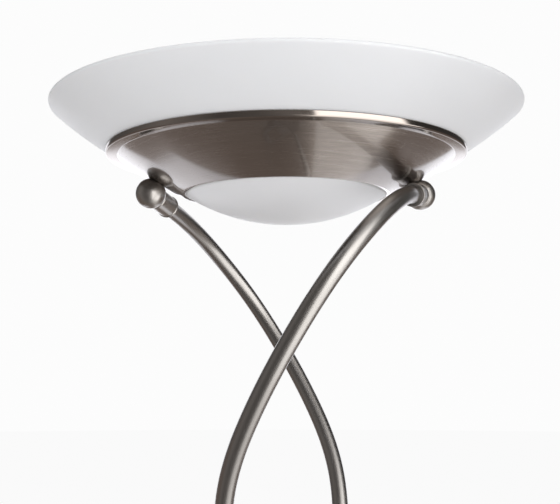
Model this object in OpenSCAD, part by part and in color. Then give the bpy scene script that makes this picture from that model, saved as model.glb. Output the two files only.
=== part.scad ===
// Torchiere floor lamp. Two bent tubes wind round each other from a round base
// up to a shallow metal bowl that holds an opal glass dish and a small dome.
// Origin: centre of the base's underside. +Z is up, and -Y is the front.

/* [Overall] */
// Height from the floor to the rim of the glass dish
lamp_h = 1830; // [1600:10:1950]
// Sides of the swept tubes
tube_sides = 18; // [12:2:20]

/* [Glass dish] */
// Outer diameter of the dish at its rim
dish_d = 420; // [404:2:440]
// Height of the rim above the lip of the metal bowl
dish_rise = 40; // [36:1:46]
// How far the side of the dish bulges out from a straight cone
dish_sag = 1.6; // [0.8:0.2:3]
// Thickness of the dish's glass
dish_t = 4; // [3:0.25:4.5]

/* [Metal bowl] */
// Outer diameter of the bowl's lip
lip_d = 321; // [315:1:327]
// Height of the lip
lip_h = 5.5; // [4.5:0.5:8]
// Width of the step under the lip, which carries the dish
step_w = 10.5; // [9.5:0.5:12]
// Height of the bowl from its bottom edge up to the step
bowl_depth = 33; // [31:0.5:36]
// How far the bowl's side bulges out from a straight cone
bowl_sag = 2; // [1:0.25:3]
// Outer diameter of the bowl's bottom edge
mouth_d = 186; // [180:1:190]
// Width of the turned-in hem that carries the dome
hem_w = 3.5; // [3:0.25:5]
// Thickness of the bowl's metal
bowl_t = 1.2; // [1:0.1:1.5]
// Thickness of the soft ring under the dish
gasket_t = 2; // [1.5:0.25:2.5]

/* [Glass dome] */
// Depth of the dome below the bowl
dome_depth = 25; // [20:1:32]
// Thickness of the dome's glass
dome_t = 3; // [2.5:0.25:3.5]
// Width of the flange that rests on the hem
dome_flange = 2; // [1.5:0.25:2.25]

/* [Ball joints] */
// Diameter of each ball
ball_d = 27; // [25:0.5:30]
// Distance from the ball's centre to its flat seat
ball_seat = 11; // [10.5:0.25:12]
// Radius at which the balls' studs pass through the bowl
stud_r = 115.5; // [112:0.5:120]
// Thread diameter of the hollow studs
stud_d = 10; // [9:0.5:11]
// Bore of the hollow studs
stud_bore = 6.5; // [5.5:0.25:7]
// Diameter of the collars
collar_d = 19.5; // [18.5:0.25:22]
// Distance from the ball's centre to the end of its collar
collar_reach = 40; // [34:1:46]

/* [Arms] */
// Outside diameter of the tubes
tube_d = 15; // [14:0.25:15.5]
// Wall of the tubes
tube_wall = 1.5; // [1.25:0.25:2]
// Direction in which each tube leaves its ball, as a turn about the lamp's axis
lead_turn = 109; // [104:1:114]
// Slope at which each tube leaves its ball
lead_dip = 9; // [7:1:14]
// How far a tube swings out beyond its ball at its widest
arm_swing = 34.5; // [30:0.5:38]
// Depth below the balls at which the two tubes stand front and back
arm_drop = 133; // [120:1:150]
// Turn of the tubes about the lamp's axis from the balls to the base
helix_turn = 360; // [320:5:400]
// Distance from the lamp's axis to each tube at the base
foot_r = 42; // [38:1:46]

/* [Base] */
// Diameter of the base
base_d = 290; // [280:2:310]
// Height of the base's flat top
base_h = 32; // [31:0.5:38]
// Height of the cover's upright rim
skirt_h = 13; // [12:0.5:15]
// Radius of the base's flat top
top_r = 72; // [68:1:80]
// Thickness of the cover's metal
cover_t = 1.2; // [1:0.1:1.6]
// Gap between the cast weight and the cover's rim
weight_gap = 11.8; // [6:0.2:16]
// Thickness of the cast weight's plate
weight_t = 12; // [10:0.5:12.5]
// Thickness of the felt pad
pad_t = 2.5; // [2:0.25:3]
// Diameter of the sockets that hold the tubes
socket_d = 24; // [22:0.5:28]
// Height of the sockets above the base's flat top
socket_h = 28; // [24:1:34]
// Diameter of the bolts that hold the sockets
bolt_d = 8; // [6:0.5:9]

/* [Dimmer] */
// Distance from the lamp's axis to the dimmer knob
knob_r = 46; // [44:1:50]
// Diameter of the knob
knob_d = 26; // [22:1:30]
// Height of the knob
knob_h = 15; // [13:0.5:18]
// Number of flutes round the knob
knob_flutes = 20; // [12:1:24]
// Diameter of the dimmer's spindle
spindle_d = 6; // [5:0.25:6.5]
// Bore of the bush where the mains cord enters
inlet_d = 7; // [6:0.25:7.5]

/* [Light unit] */
// Distance between the lamp's two contacts
lamp_l = 114; // [106:1:118]
// Diameter of the lamp's glass tube
lamp_d = 10; // [8:0.5:12]
// Height of the lamp's axis above the crossbar
lamp_up = 24; // [20:1:26]
// Width of the crossbar
bar_w = 24; // [22:1:26]
// Thickness of the crossbar
bar_t = 2; // [1.5:0.25:2.5]
// Distance along the bowl from a stud to the crossbar's bend
bar_bend = 10.5; // [10:0.25:14]

/* [Hidden] */
$fn = 64;

// Clearances
slip = 0.15;    // a part that slides into or over another
free = 0.8;     // a part that stays clear of another
rest = 0.2;     // a flat part on the inside of the bowl
touch = 0.05;   // flat faces that press on each other
cut = 1;        // how far a cutting shape runs past what it cuts
turned = 0.1;   // round a shaft that turns

// Heights of the head, from the floor
lip_z = lamp_h - dish_rise;
step_z = lip_z - lip_h;
mouth_z = step_z - bowl_depth;

// The bowl's side is an arc. A point on it is given by the slope there.
lip_r = lip_d / 2;
side_r = lip_r - step_w;
mouth_r = mouth_d / 2;
side_chord = norm([side_r - mouth_r, bowl_depth]);
side_bend = side_chord * side_chord / (8 * bowl_sag) + bowl_sag / 2;
side_half = asin(side_chord / 2 / side_bend);
side_mid = atan2(bowl_depth, side_r - mouth_r);
slope_top = side_mid + side_half;
slope_low = side_mid - side_half;
side_cx = mouth_r - side_bend * sin(slope_low);
side_cz = mouth_z + side_bend * cos(slope_low);
function side_at(slope, inset = 0) = [
    side_cx + (side_bend - inset) * sin(slope),
    side_cz - (side_bend - inset) * cos(slope)
];
slope_stud = asin((stud_r - side_cx) / side_bend);
hem_r = mouth_r - hem_w;
dome_slip = 0.5;   // between the dome and the hem

// The ball sits with its flat on the bowl. Its stud points up and inwards.
stud_at = side_at(slope_stud);
stud_dir = [-sin(slope_stud), cos(slope_stud)];
ball_at = stud_at - ball_seat * stud_dir;
ball_r = ball_d / 2;

// The tube leaves the ball along this direction
lead = [
    -cos(180 - lead_turn) * cos(lead_dip),
    -sin(lead_turn) * cos(lead_dip),
    -sin(lead_dip)
];
ball_c = [ball_at[0], 0, ball_at[1]];
tube_r = tube_d / 2;
tube_in = stud_d / 2 + 1;  // tube's end, from the ball's centre
stud_in = ball_seat - 4;   // how far the stud goes into the ball
collar_end = ball_c + collar_reach * lead;
bead = 0.6;                // bead round each end of the collar
bead_l = 1.5;
lead_pull = 35;       // length over which the tube eases out of the collar

// Bend stations of the right tube: drop below the ball as a share of arm_drop,
// distance beyond the ball's radius as a share of arm_swing, and turn about the
// lamp's axis
stations = [
    [0.18, 0.305, 52], [0.345, 0.725, 66], [0.63, 1, 79.5], [1, 0.855, 91],
    [1.4, 0.32, 103.5], [1.895, -0.405, 122], [2.51, -1.465, 137], [3.28, -2.145, 164]
];
function station(s) = [ball_at[0] + s[1] * arm_swing, s[2], ball_at[1] - s[0] * arm_drop];
// Below them the two tubes wind down evenly to their sockets
low_steps = 7;
foot_z = base_h + 6;  // lower end of the tubes
foot_pull = 130;      // length over which a tube straightens into its socket
low_from = station(stations[len(stations) - 1]);
low_to = [foot_r, helix_turn, foot_z + foot_pull];
function polar(r, turn, z) = [r * cos(-turn), r * sin(-turn), z];
function low_station(f) = polar(
    low_to[0] + (low_from[0] - low_to[0]) * pow(1 - f, 3),
    low_from[1] + (low_to[1] - low_from[1]) * f,
    low_from[2] + (low_to[2] - low_from[2]) * f
);
foot_c = polar(foot_r, helix_turn, foot_z);
pulls = concat(
    [collar_end - lead_pull * lead, collar_end, collar_end + lead_pull * lead],
    [for (s = stations) let (at = station(s)) polar(at[0], at[1], at[2])],
    [for (i = [1 : low_steps]) low_station(i / low_steps)],
    [foot_c, foot_c - [0, 0, foot_pull]]
);
rings_per_span = 3;

// A cubic B-spline through space, pulled towards the points p
function spline_at(p, i, t) =
    (pow(1 - t, 3) * p[i] + (3 * pow(t, 3) - 6 * t * t + 4) * p[i + 1]
    + (-3 * pow(t, 3) + 3 * t * t + 3 * t + 1) * p[i + 2] + pow(t, 3) * p[i + 3]) / 6;
function spline(p, n) = concat(
    [for (i = [0 : len(p) - 4], k = [0 : n - 1]) spline_at(p, i, k / n)],
    [spline_at(p, len(p) - 4, 1)]
);
arm_line = concat([ball_c + tube_in * lead], spline(pulls, rings_per_span));

// Base
base_r = base_d / 2;
cover_z = pad_t + 1;             // lower edge of the cover
cover_in = base_h - cover_t;     // underside of the cover's flat top
edge_round = 4;
cover_sag = 2.5;                 // how far the cover's slope bulges
weight_r = base_r - cover_t - weight_gap;
hub_r = top_r - 6;
bolt_head_d = bolt_d * 1.7;
bolt_head_h = bolt_d * 0.65;
bolt_deep = 2;                   // bolt's head above the base's underside
bolt_seat = pad_t + bolt_head_h + bolt_deep;   // roof of the bolts' counterbores
bolt_grip = 5;                   // thread of the bolts in the sockets
bolt_washer_d = bolt_head_d + 2;
bolt_hole_d = bolt_washer_d + 2;
pad_inset = 2;                   // pad inside the edge of the weight
socket_flange = 2;               // width of the sockets' flange
socket_flange_h = 3;
socket_edge = 1.5;               // bevel at the sockets' mouth
dimmer_w = 28;
dimmer_h = 17;
pocket = dimmer_w + 4;           // square pocket for the dimmer in the weight
pocket_deep = 3;                 // its floor below the dimmer
bush_d = 10;                     // dimmer's threaded bush
bush_out = 5;                    // bush above the base's flat top
bush_nut_h = 2.5;
spindle_top = base_h + knob_h - 3;
flat_from = 8;                   // spindle's flat above the base's flat top
skirt_gap = 1;                   // between the knob and the base's flat top
knob_edge = 2.5;                 // rounding of the knob's top edge
recess_h = bush_out - skirt_gap + 1.5;   // recess that clears the nut and the bush
flute_d = 2.4;
flute_out = 0.6;                 // flutes' centres outside the knob
flute_z = 2;                     // plain rim under the flutes
pointer_w = 1.2;
pointer_deep = 0.5;
inlet_z = cover_z + 6;
groove_w = inlet_d + 2;
inlet_flange = inlet_d + 6;
inlet_body = inlet_d + 3;
inlet_l = cover_t + 4;           // bush inside the outer face of the cover
inlet_lip = 2.5;                 // its flange outside

// Light unit
washer_t = 1;
bar_seat = bowl_t + rest + washer_t + touch;   // underside of the crossbar's foot
bar_z = (stud_at + bar_seat * stud_dir)[1] - bar_bend * sin(slope_stud);
lamp_z = bar_z + bar_t + lamp_up;
holder_w = 20;
holder_l = 18;
holder_h = lamp_up + 8;
holder_x = lamp_l / 2 - 5;
cap_l = 12;
holder_cup = 6;                  // depth of a holder's cup
holder_cup_d = lamp_d + 4;
holder_back = 3;                 // wall behind a contact
holder_screw_y = [-6, 6];
screw_d = 3;
screw_grip = 7;                  // thread of a screw in its holder
contact_d = 3;
notch = 3;                       // depth of the notch under a holder
notch_h = 5;
screw_head_d = 2 * screw_d - 0.5;
screw_head_h = 2;
lead_hole_x = holder_x - 10;     // hole where a lead passes the crossbar
lead_hole_d = 7;
lead_r = 1.5;
earth_x = 28;
earth_head_d = 7;
earth_head_h = 2.4;
earth_end = 3;                   // earth screw below the crossbar
block = [33, 18, 12];            // terminal block
block_bore = 2 * lead_r + 1;
nut_across = 14;
nut_h = 5;
stud_out = 15;                   // stud above the inside of the bowl
stud_washer_d = stud_d + 6;
bar_foot = 9;                    // foot of the crossbar past its stud, each way

metal = [0.62, 0.58, 0.55];
steel = [0.75, 0.75, 0.76];
opal = [0.93, 0.94, 0.94];
dark = [0.2, 0.2, 0.2];

module twin() {
    children();
    rotate([0, 0, 180]) children();
}

// Places children with +Z along direction d, at point p
module along(p, d) {
    translate(p)
        rotate([0, acos(d[2] / norm(d)), atan2(d[1], d[0])])
            children();
}

// Places children at the stud of the right ball, +Z into the bowl, z = 0 on
// the bowl's outside
module at_stud() {
    along([stud_at[0], 0, stud_at[1]], [stud_dir[0], 0, stud_dir[1]]) children();
}

// Places children at the centre of the right ball, +Z along its tube
module at_lead() {
    along(ball_c, lead) children();
}

// Arc from p to q, outside bulging away by sag, moved in by inset
function arc_points(p, q, sag, inset, n) =
    let (
        chord = norm(q - p),
        bend = chord * chord / (8 * sag) + sag / 2,
        half = asin(chord / 2 / bend),
        mid = atan2(q[1] - p[1], q[0] - p[0]),
        c = p + bend * [-sin(mid - half), cos(mid - half)]
    )
    [for (i = [0 : n]) let (a = mid - half + 2 * half * i / n)
        c + (bend - inset) * [sin(a), -cos(a)]];

// A round bar or tube swept along the points of a line
function unit(v) = v / norm(v);
function heading(p, i) =
    unit(p[min(i + 1, len(p) - 1)] - p[max(i - 1, 0)]);
function ring_points(p, i, r, ref, sides) =
    let (t = heading(p, i), a = unit(cross(t, ref)), b = cross(t, a))
    [for (k = [0 : sides - 1]) p[i] + r * (cos(360 * k / sides) * a + sin(360 * k / sides) * b)];
function side_faces(rings, sides, first, flip) = [
    for (i = [0 : rings - 2], k = [0 : sides - 1], h = [0, 1])
        let (
            a = first + i * sides + k,
            b = first + i * sides + (k + 1) % sides,
            c = b + sides,
            d = a + sides,
            f = h == 0 ? [a, b, c] : [a, c, d]
        )
        flip ? [f[2], f[1], f[0]] : f
];
module swept_tube(p, r, wall, ref, sides) {
    n = len(p);
    outer = [for (i = [0 : n - 1]) each ring_points(p, i, r, ref, sides)];
    inner = [for (i = [0 : n - 1]) each ring_points(p, i, r - wall, ref, sides)];
    half = n * sides;
    ends = [for (k = [0 : sides - 1], h = [0, 1])
        let (l = (k + 1) % sides) h == 0 ? [k, half + k, half + l] : [k, half + l, l]];
    far = (n - 1) * sides;
    other_ends = [for (f = ends) [far + f[2], far + f[1], far + f[0]]];
    polyhedron(
        concat(outer, inner),
        concat(
            side_faces(n, sides, 0, false), side_faces(n, sides, half, true),
            ends, other_ends
        )
    );
}
module swept_bar(p, r, ref, sides) {
    n = len(p);
    polyhedron(
        [for (i = [0 : n - 1]) each ring_points(p, i, r, ref, sides)],
        concat(
            side_faces(n, sides, 0, false),
            [[for (k = [sides - 1 : -1 : 0]) k]],
            [[for (k = [0 : sides - 1]) (n - 1) * sides + k]]
        )
    );
}

// ---- Base ----

module base_pad() {
    color([0.12, 0.12, 0.12])
        cylinder(r = weight_r - pad_inset, h = pad_t, $fn = 96);
}

module socket_holes(d, h, z) {
    twin() translate([foot_c[0], foot_c[1], z]) cylinder(d = d, h = h);
}

module base_weight() {
    hub_top = cover_in;
    color(dark)
    difference() {
        union() {
            translate([0, 0, pad_t])
                cylinder(r = weight_r, h = weight_t, $fn = 96);
            translate([0, 0, pad_t + weight_t - cut])
                cylinder(r = hub_r, h = hub_top - pad_t - weight_t + cut);
        }
        socket_holes(bolt_d + 2 * slip, base_h, 0);
        socket_holes(bolt_hole_d, bolt_seat, 0);
        translate([-pocket / 2, -knob_r - pocket / 2, cover_in - dimmer_h - pocket_deep])
            cube([pocket, pocket, dimmer_h + pocket_deep + cut]);
        // groove for the mains leads, from the inlet to the pocket
        translate([-groove_w / 2, -knob_r, inlet_z - groove_w / 2])
            cube([groove_w, knob_r + weight_r + cut, base_h]);
    }
}

module cover_profile() {
    shoulder = pad_t + skirt_h;
    low = [base_r - edge_round, shoulder + edge_round];
    high = [top_r, base_h];
    steps = 6;
    outside = arc_points(low, high, cover_sag, 0, steps);
    inside = arc_points(low, high, cover_sag, cover_t, steps);
    polygon(concat(
        [[0, base_h], [0, cover_in], [inside[steps][0], cover_in]],
        [for (i = [steps - 1 : -1 : 1]) inside[i]],
        [for (a = [15 : 15 : 90]) low + [(edge_round - cover_t) * sin(a),
            (edge_round - cover_t) * cos(a) - edge_round]],
        [[base_r - cover_t, cover_z], [base_r, cover_z]],
        [for (a = [90 : -15 : 15]) low + [edge_round * sin(a), edge_round * cos(a) - edge_round]],
        [for (i = [1 : steps]) outside[i]]
    ));
}

module base_cover() {
    color(metal)
    difference() {
        rotate_extrude($fn = 96) cover_profile();
        socket_holes(bolt_d + 2 * slip, base_h, 5);
        translate([0, -knob_r, cover_in - cut])
            cylinder(d = bush_d + 2 * slip, h = cover_t + 2 * cut);
        translate([0, base_r - cover_t - cut, inlet_z])
            rotate([-90, 0, 0])
                cylinder(d = inlet_body + 2 * slip, h = cover_t + 2 * cut);
    }
}

module socket() {
    r = socket_d / 2;
    flange = r + socket_flange;
    translate([foot_c[0], foot_c[1], base_h])
    difference() {
        rotate_extrude() polygon([
            [0, 0], [flange, 0], [flange, socket_flange_h], [r, socket_flange_h + socket_flange],
            [r, socket_h - socket_edge], [r - socket_edge, socket_h], [0, socket_h]
        ]);
        translate([0, 0, foot_z - slip - base_h])
            cylinder(d = tube_d + 2 * slip, h = socket_h);
        translate([0, 0, -cut])
            cylinder(d = bolt_d + 2 * slip, h = socket_h);
    }
}
module socket_right() { color(metal) socket(); }
module socket_left() { color(metal) rotate([0, 0, 180]) socket(); }

// Hollow bolts, which let the leads through
module socket_bolts() {
    under = bolt_seat - washer_t;
    color(steel)
    twin() translate([foot_c[0], foot_c[1], under]) difference() {
        union() {
            translate([0, 0, -bolt_head_h]) cylinder(d = bolt_head_d, h = bolt_head_h, $fn = 6);
            cylinder(d = bolt_d, h = base_h + bolt_grip - under);
        }
        translate([0, 0, -bolt_head_h - cut]) cylinder(d = bolt_d * 0.55, h = 2 * base_h);
    }
}

module socket_washers() {
    color(steel)
    twin() translate([foot_c[0], foot_c[1], bolt_seat - washer_t]) difference() {
        cylinder(d = bolt_washer_d, h = washer_t);
        translate([0, 0, -cut]) cylinder(d = bolt_d + 2 * slip, h = washer_t + 2 * cut);
    }
}

module inlet_bush() {
    color(dark)
    translate([0, base_r, inlet_z]) rotate([-90, 0, 0]) difference() {
        union() {
            translate([0, 0, -inlet_l]) cylinder(d = inlet_body, h = inlet_l + cut);
            cylinder(d = inlet_flange, h = inlet_lip);
        }
        translate([0, 0, -inlet_l - cut]) cylinder(d = inlet_d, h = inlet_l + inlet_lip + 2 * cut);
    }
}

// ---- Dimmer ----

module at_knob() { translate([0, -knob_r, 0]) children(); }

module dimmer_body() {
    color(dark)
    at_knob() difference() {
        union() {
            translate([-dimmer_w / 2, -dimmer_w / 2, cover_in - dimmer_h])
                cube([dimmer_w, dimmer_w, dimmer_h]);
            translate([0, 0, cover_in - cut]) cylinder(d = bush_d, h = cover_t + bush_out + cut);
        }
        translate([0, 0, cover_in - dimmer_h / 2])
            cylinder(d = spindle_d + 2 * turned, h = dimmer_h + bush_out);
    }
}

module dimmer_nut() {
    color(steel)
    at_knob() translate([0, 0, base_h]) difference() {
        cylinder(d = nut_across / cos(30), h = bush_nut_h, $fn = 6);
        translate([0, 0, -cut]) cylinder(d = bush_d + 2 * slip, h = bush_nut_h + 2 * cut);
    }
}

module dimmer_spindle() {
    color(steel)
    at_knob() difference() {
        translate([0, 0, cover_in - dimmer_h / 2 + turned])
            cylinder(d = spindle_d, h = spindle_top - cover_in + dimmer_h / 2 - turned);
        // flat that drives the knob
        translate([spindle_d / 4, -spindle_d, base_h + flat_from])
            cube([spindle_d, 2 * spindle_d, knob_h]);
    }
}

module dimmer_knob() {
    r = knob_d / 2;
    color(metal)
    at_knob() translate([0, 0, base_h + skirt_gap]) difference() {
        rotate_extrude() polygon([
            [0, 0], [r, 0], [r, knob_h - knob_edge - 0.5],
            [r - knob_edge / 3, knob_h - knob_edge / 4], [r - knob_edge, knob_h], [0, knob_h]
        ]);
        translate([0, 0, -cut]) cylinder(d = nut_across / cos(30) + 2, h = recess_h + cut);
        // bore with a flat, for the spindle
        difference() {
            cylinder(d = spindle_d + 2 * slip, h = spindle_top - base_h - skirt_gap + slip);
            translate([spindle_d / 4 + slip, -spindle_d, flat_from - skirt_gap + 0.5])
                cube([spindle_d, 2 * spindle_d, knob_h]);
        }
        for (i = [0 : knob_flutes - 1])
            rotate([0, 0, (i + 0.5) * 360 / knob_flutes])
                translate([r + flute_out, 0, flute_z]) cylinder(d = flute_d, h = knob_h, $fn = 24);
        // pointer line
        translate([-pointer_w / 2, 1 - r, knob_h - pointer_deep])
            cube([pointer_w, r - 3, pointer_deep + cut]);
    }
}

// ---- Arms, collars and balls ----

module arm() {
    ref = [cos(90 - lead_turn), sin(90 - lead_turn), 0];
    swept_tube(arm_line, tube_r, tube_wall, ref, tube_sides);
}
module arm_right() { color(metal) arm(); }
module arm_left() { color(metal) rotate([0, 0, 180]) arm(); }

module collar() {
    r = collar_d / 2;
    rim = r + bead;
    at_lead() difference() {
        rotate_extrude() polygon([
            [0, ball_r / 2], [rim, ball_r / 2], [rim, ball_r - bead_l],
            [r, ball_r - bead_l + bead], [r, collar_reach - bead_l - bead],
            [rim, collar_reach - bead_l], [rim, collar_reach - bead / 2],
            [rim - bead / 2, collar_reach], [0, collar_reach]
        ]);
        sphere(r = ball_r + touch);
        cylinder(d = tube_d + 2 * slip, h = collar_reach + cut);
    }
}
module collar_right() { color(metal) collar(); }
module collar_left() { color(metal) rotate([0, 0, 180]) collar(); }

module ball() {
    difference() {
        translate(ball_c) sphere(r = ball_r);
        at_stud() translate([-ball_r, -ball_r, 0]) cube([ball_d, ball_d, ball_r]);
        at_stud() translate([0, 0, -stud_in - slip])
            cylinder(d = stud_d + 2 * slip, h = stud_in + slip + cut);
        at_stud() translate([0, 0, -ball_seat]) cylinder(d = stud_bore, h = ball_seat);
        at_lead() translate([0, 0, tube_in - slip]) cylinder(d = tube_d + 2 * slip, h = ball_r);
        at_lead() cylinder(d = tube_d - 2 * tube_wall, h = ball_r);
    }
}
module ball_right() { color(metal) ball(); }
module ball_left() { color(metal) rotate([0, 0, 180]) ball(); }

module stud() {
    at_stud() difference() {
        translate([0, 0, -stud_in]) cylinder(d = stud_d, h = stud_in + bowl_t + stud_out);
        translate([0, 0, -stud_in - cut]) cylinder(d = stud_bore, h = 2 * (stud_in + stud_out));
    }
}
module stud_right() { color(steel) stud(); }
module stud_left() { color(steel) rotate([0, 0, 180]) stud(); }

bar_back = bar_seat + bar_t + touch;   // upper washer on the crossbar's foot
module stud_washers() {
    color(steel)
    twin() at_stud() for (z = [bowl_t + rest, bar_back])
        translate([0, 0, z]) difference() {
            cylinder(d = stud_washer_d, h = washer_t);
            translate([0, 0, -cut]) cylinder(d = stud_d + 2 * slip, h = washer_t + 2 * cut);
        }
}

module stud_nuts() {
    color(steel)
    twin() at_stud() translate([0, 0, bar_back + washer_t + touch]) difference() {
        cylinder(d = nut_across / cos(30), h = nut_h, $fn = 6);
        translate([0, 0, -cut]) cylinder(d = stud_d + 2 * slip, h = nut_h + 2 * cut);
    }
}

// ---- Bowl and glass ----

module bowl_ring() {
    steps = 8;
    slopes = [for (i = [0 : steps]) slope_low + (slope_top - slope_low) * i / steps];
    fold = 1.5;   // rounding where the step turns up into the lip
    edge = 0.3;
    color(metal)
    difference() {
        rotate_extrude($fn = 128) polygon(concat(
            [[hem_r, mouth_z]],
            [for (s = slopes) side_at(s)],
            [[lip_r - fold, step_z], [lip_r - 0.3 * fold, step_z + 0.3 * fold], [lip_r, step_z + fold]],
            [[lip_r, lip_z - edge], [lip_r - edge, lip_z], [lip_r - bowl_t, lip_z]],
            [[lip_r - bowl_t, step_z + bowl_t]],
            [for (i = [steps : -1 : 1]) side_at(slopes[i], bowl_t)],
            [[side_at(slope_low, bowl_t)[0], mouth_z + bowl_t], [hem_r, mouth_z + bowl_t]]
        ));
        twin() at_stud() translate([0, 0, -cut]) cylinder(d = stud_d + 2 * slip, h = bowl_t + 2 * cut);
    }
}

dish_z = step_z + bowl_t + gasket_t;   // underside of the dish's foot
dish_out = lip_r - bowl_t - free;      // dish's outside at the lip
dish_r = dish_d / 2;

module dish_gasket() {
    color(opal)
    translate([0, 0, step_z + bowl_t]) difference() {
        cylinder(r = dish_out, h = gasket_t, $fn = 128);
        translate([0, 0, -cut]) cylinder(r = side_r + 1, h = gasket_t + 2 * cut, $fn = 128);
    }
}

// The dish slopes least at its foot, where it has to pass inside the lip
dish_chord = norm([dish_r - dish_out, dish_rise]);
dish_foot_slope = atan2(dish_rise, dish_r - dish_out) - 4 * dish_sag / dish_chord * 180 / PI;
dish_toe = dish_out - dish_t / 2 / sin(dish_foot_slope)
    - (lip_z - dish_z) / tan(dish_foot_slope);
module glass_dish() {
    steps = 8;
    rim = dish_t / 2;
    foot = [dish_toe, dish_z];
    edge = [dish_r - rim, lamp_h - rim];
    outside = arc_points(foot, edge, dish_sag, -rim, steps);
    inside = arc_points(foot, edge, dish_sag, rim, steps);
    out = atan2(outside[steps][1] - edge[1], outside[steps][0] - edge[0]);
    color(opal)
    difference() {
        rotate_extrude($fn = 128) polygon(concat(
            outside,
            [for (a = [30 : 30 : 150]) edge + rim * [cos(out + a), sin(out + a)]],
            [for (i = [steps : -1 : 0]) inside[i]]
        ));
        // ground flat on the foot
        translate([0, 0, dish_z - 2 * dish_t]) cylinder(r = dish_r, h = 2 * dish_t);
    }
}

module glass_dome() {
    edge_r = hem_r - dome_slip;
    bend = edge_r * edge_r / (2 * dome_depth) + dome_depth / 2;
    half = asin(edge_r / bend);
    steps = 8;
    hem_z = mouth_z + bowl_t;
    c = [0, mouth_z - dome_depth + bend];
    function at(r, i) = c + r * [sin(half * i / steps), -cos(half * i / steps)];
    color(opal)
    rotate_extrude($fn = 128) polygon(concat(
        [for (i = [0 : steps]) at(bend, i)],
        [[edge_r, hem_z], [edge_r + dome_flange, hem_z], [edge_r + dome_flange, hem_z + dome_t]],
        [[at(bend - dome_t, steps)[0], hem_z + dome_t]],
        [for (i = [steps : -1 : 0]) at(bend - dome_t, i)]
    ));
}

// ---- Light unit ----

// Flat bar whose two feet lie along the inside of the bowl
module crossbar() {
    seat = stud_at + bar_seat * stud_dir;
    down = [-cos(slope_stud), -sin(slope_stud)];
    heel = seat - bar_foot * down;
    toe = seat + bar_bend * down;
    knee = bar_t * tan(slope_stud / 2);
    half = [heel, toe];
    back = [toe + [-knee, bar_t], heel + bar_t * stud_dir];
    mirrored = function(p) [-p[0], p[1]];
    color(steel)
    difference() {
        rotate([90, 0, 0]) translate([0, 0, -bar_w / 2]) linear_extrude(bar_w) polygon(concat(
            half, [mirrored(half[1]), mirrored(half[0]), mirrored(back[1]), mirrored(back[0])], back
        ));
        twin() at_stud() cylinder(d = stud_d + 2 * slip, h = bar_back + bar_t);
        twin() for (y = holder_screw_y) translate([holder_x + holder_l / 2, y, bar_z - cut])
            cylinder(d = screw_d + 2 * slip, h = bar_t + 2 * cut);
        twin() translate([lead_hole_x, 0, bar_z - cut]) cylinder(d = lead_hole_d, h = bar_t + 2 * cut);
        translate([earth_x, 0, bar_z - cut]) cylinder(d = screw_d + 2 * slip, h = bar_t + 2 * cut);
    }
}

// Ceramic holder with a cupped face towards the lamp
module lampholder() {
    translate([holder_x, 0, bar_z + bar_t]) difference() {
        translate([0, -holder_w / 2, 0]) cube([holder_l, holder_w, holder_h]);
        translate([-cut, 0, lamp_up]) rotate([0, 90, 0]) cylinder(d = holder_cup_d, h = holder_cup + cut);
        translate([-cut, 0, lamp_up]) rotate([0, 90, 0]) cylinder(d = contact_d + 2 * slip, h = holder_l);
        for (y = holder_screw_y) translate([holder_l / 2, y, -cut])
            cylinder(d = screw_d + 2 * slip, h = screw_grip + 2 * cut);
        // notch where the lead comes in
        translate([-cut, -holder_w / 2 - cut, -cut])
            cube([notch + cut, holder_w + 2 * cut, notch_h + cut]);
    }
}
module lampholder_right() { color("white") lampholder(); }
module lampholder_left() { color("white") rotate([0, 0, 180]) lampholder(); }

module holder_screws() {
    color(steel)
    twin() for (y = holder_screw_y) translate([holder_x + holder_l / 2, y, bar_z]) {
        translate([0, 0, -screw_head_h]) cylinder(d = screw_head_d, h = screw_head_h);
        cylinder(d = screw_d, h = bar_t + screw_grip);
    }
}

// Sprung contacts behind the lamp's ends
module lamp_contacts() {
    color("gold")
    twin() translate([lamp_l / 2, 0, lamp_z]) rotate([0, 90, 0]) {
        cylinder(d = contact_d + 3, h = holder_x + holder_cup - lamp_l / 2 - touch);
        cylinder(d = contact_d, h = holder_x + holder_l - holder_back - lamp_l / 2);
    }
}

module halogen_lamp() {
    color([0.9, 0.92, 0.95])
    translate([-lamp_l / 2 + cap_l, 0, lamp_z]) rotate([0, 90, 0])
        cylinder(d = lamp_d, h = lamp_l - 2 * cap_l);
}

module lamp_caps() {
    color("ivory")
    twin() translate([lamp_l / 2 - cap_l, 0, lamp_z]) rotate([0, 90, 0]) {
        cylinder(d = lamp_d - 2, h = cap_l - 2);
        cylinder(d = contact_d, h = cap_l);
    }
}

module terminal_block() {
    color("ivory")
    translate([-block[0] / 2, -block[1] / 2, bar_z - block[2]]) difference() {
        cube(block);
        for (i = [0 : 2]) translate([block[0] * (i + 0.5) / 3, -cut, block[2] / 2])
            rotate([-90, 0, 0]) cylinder(d = block_bore, h = block[1] + 2 * cut);
    }
}

module earth_screw() {
    color("gold")
    translate([earth_x, 0, bar_z]) {
        translate([0, 0, bar_t]) cylinder(d = earth_head_d, h = earth_head_h);
        translate([0, 0, -earth_end]) cylinder(d = screw_d, h = bar_t + earth_end + cut);
    }
}

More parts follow.
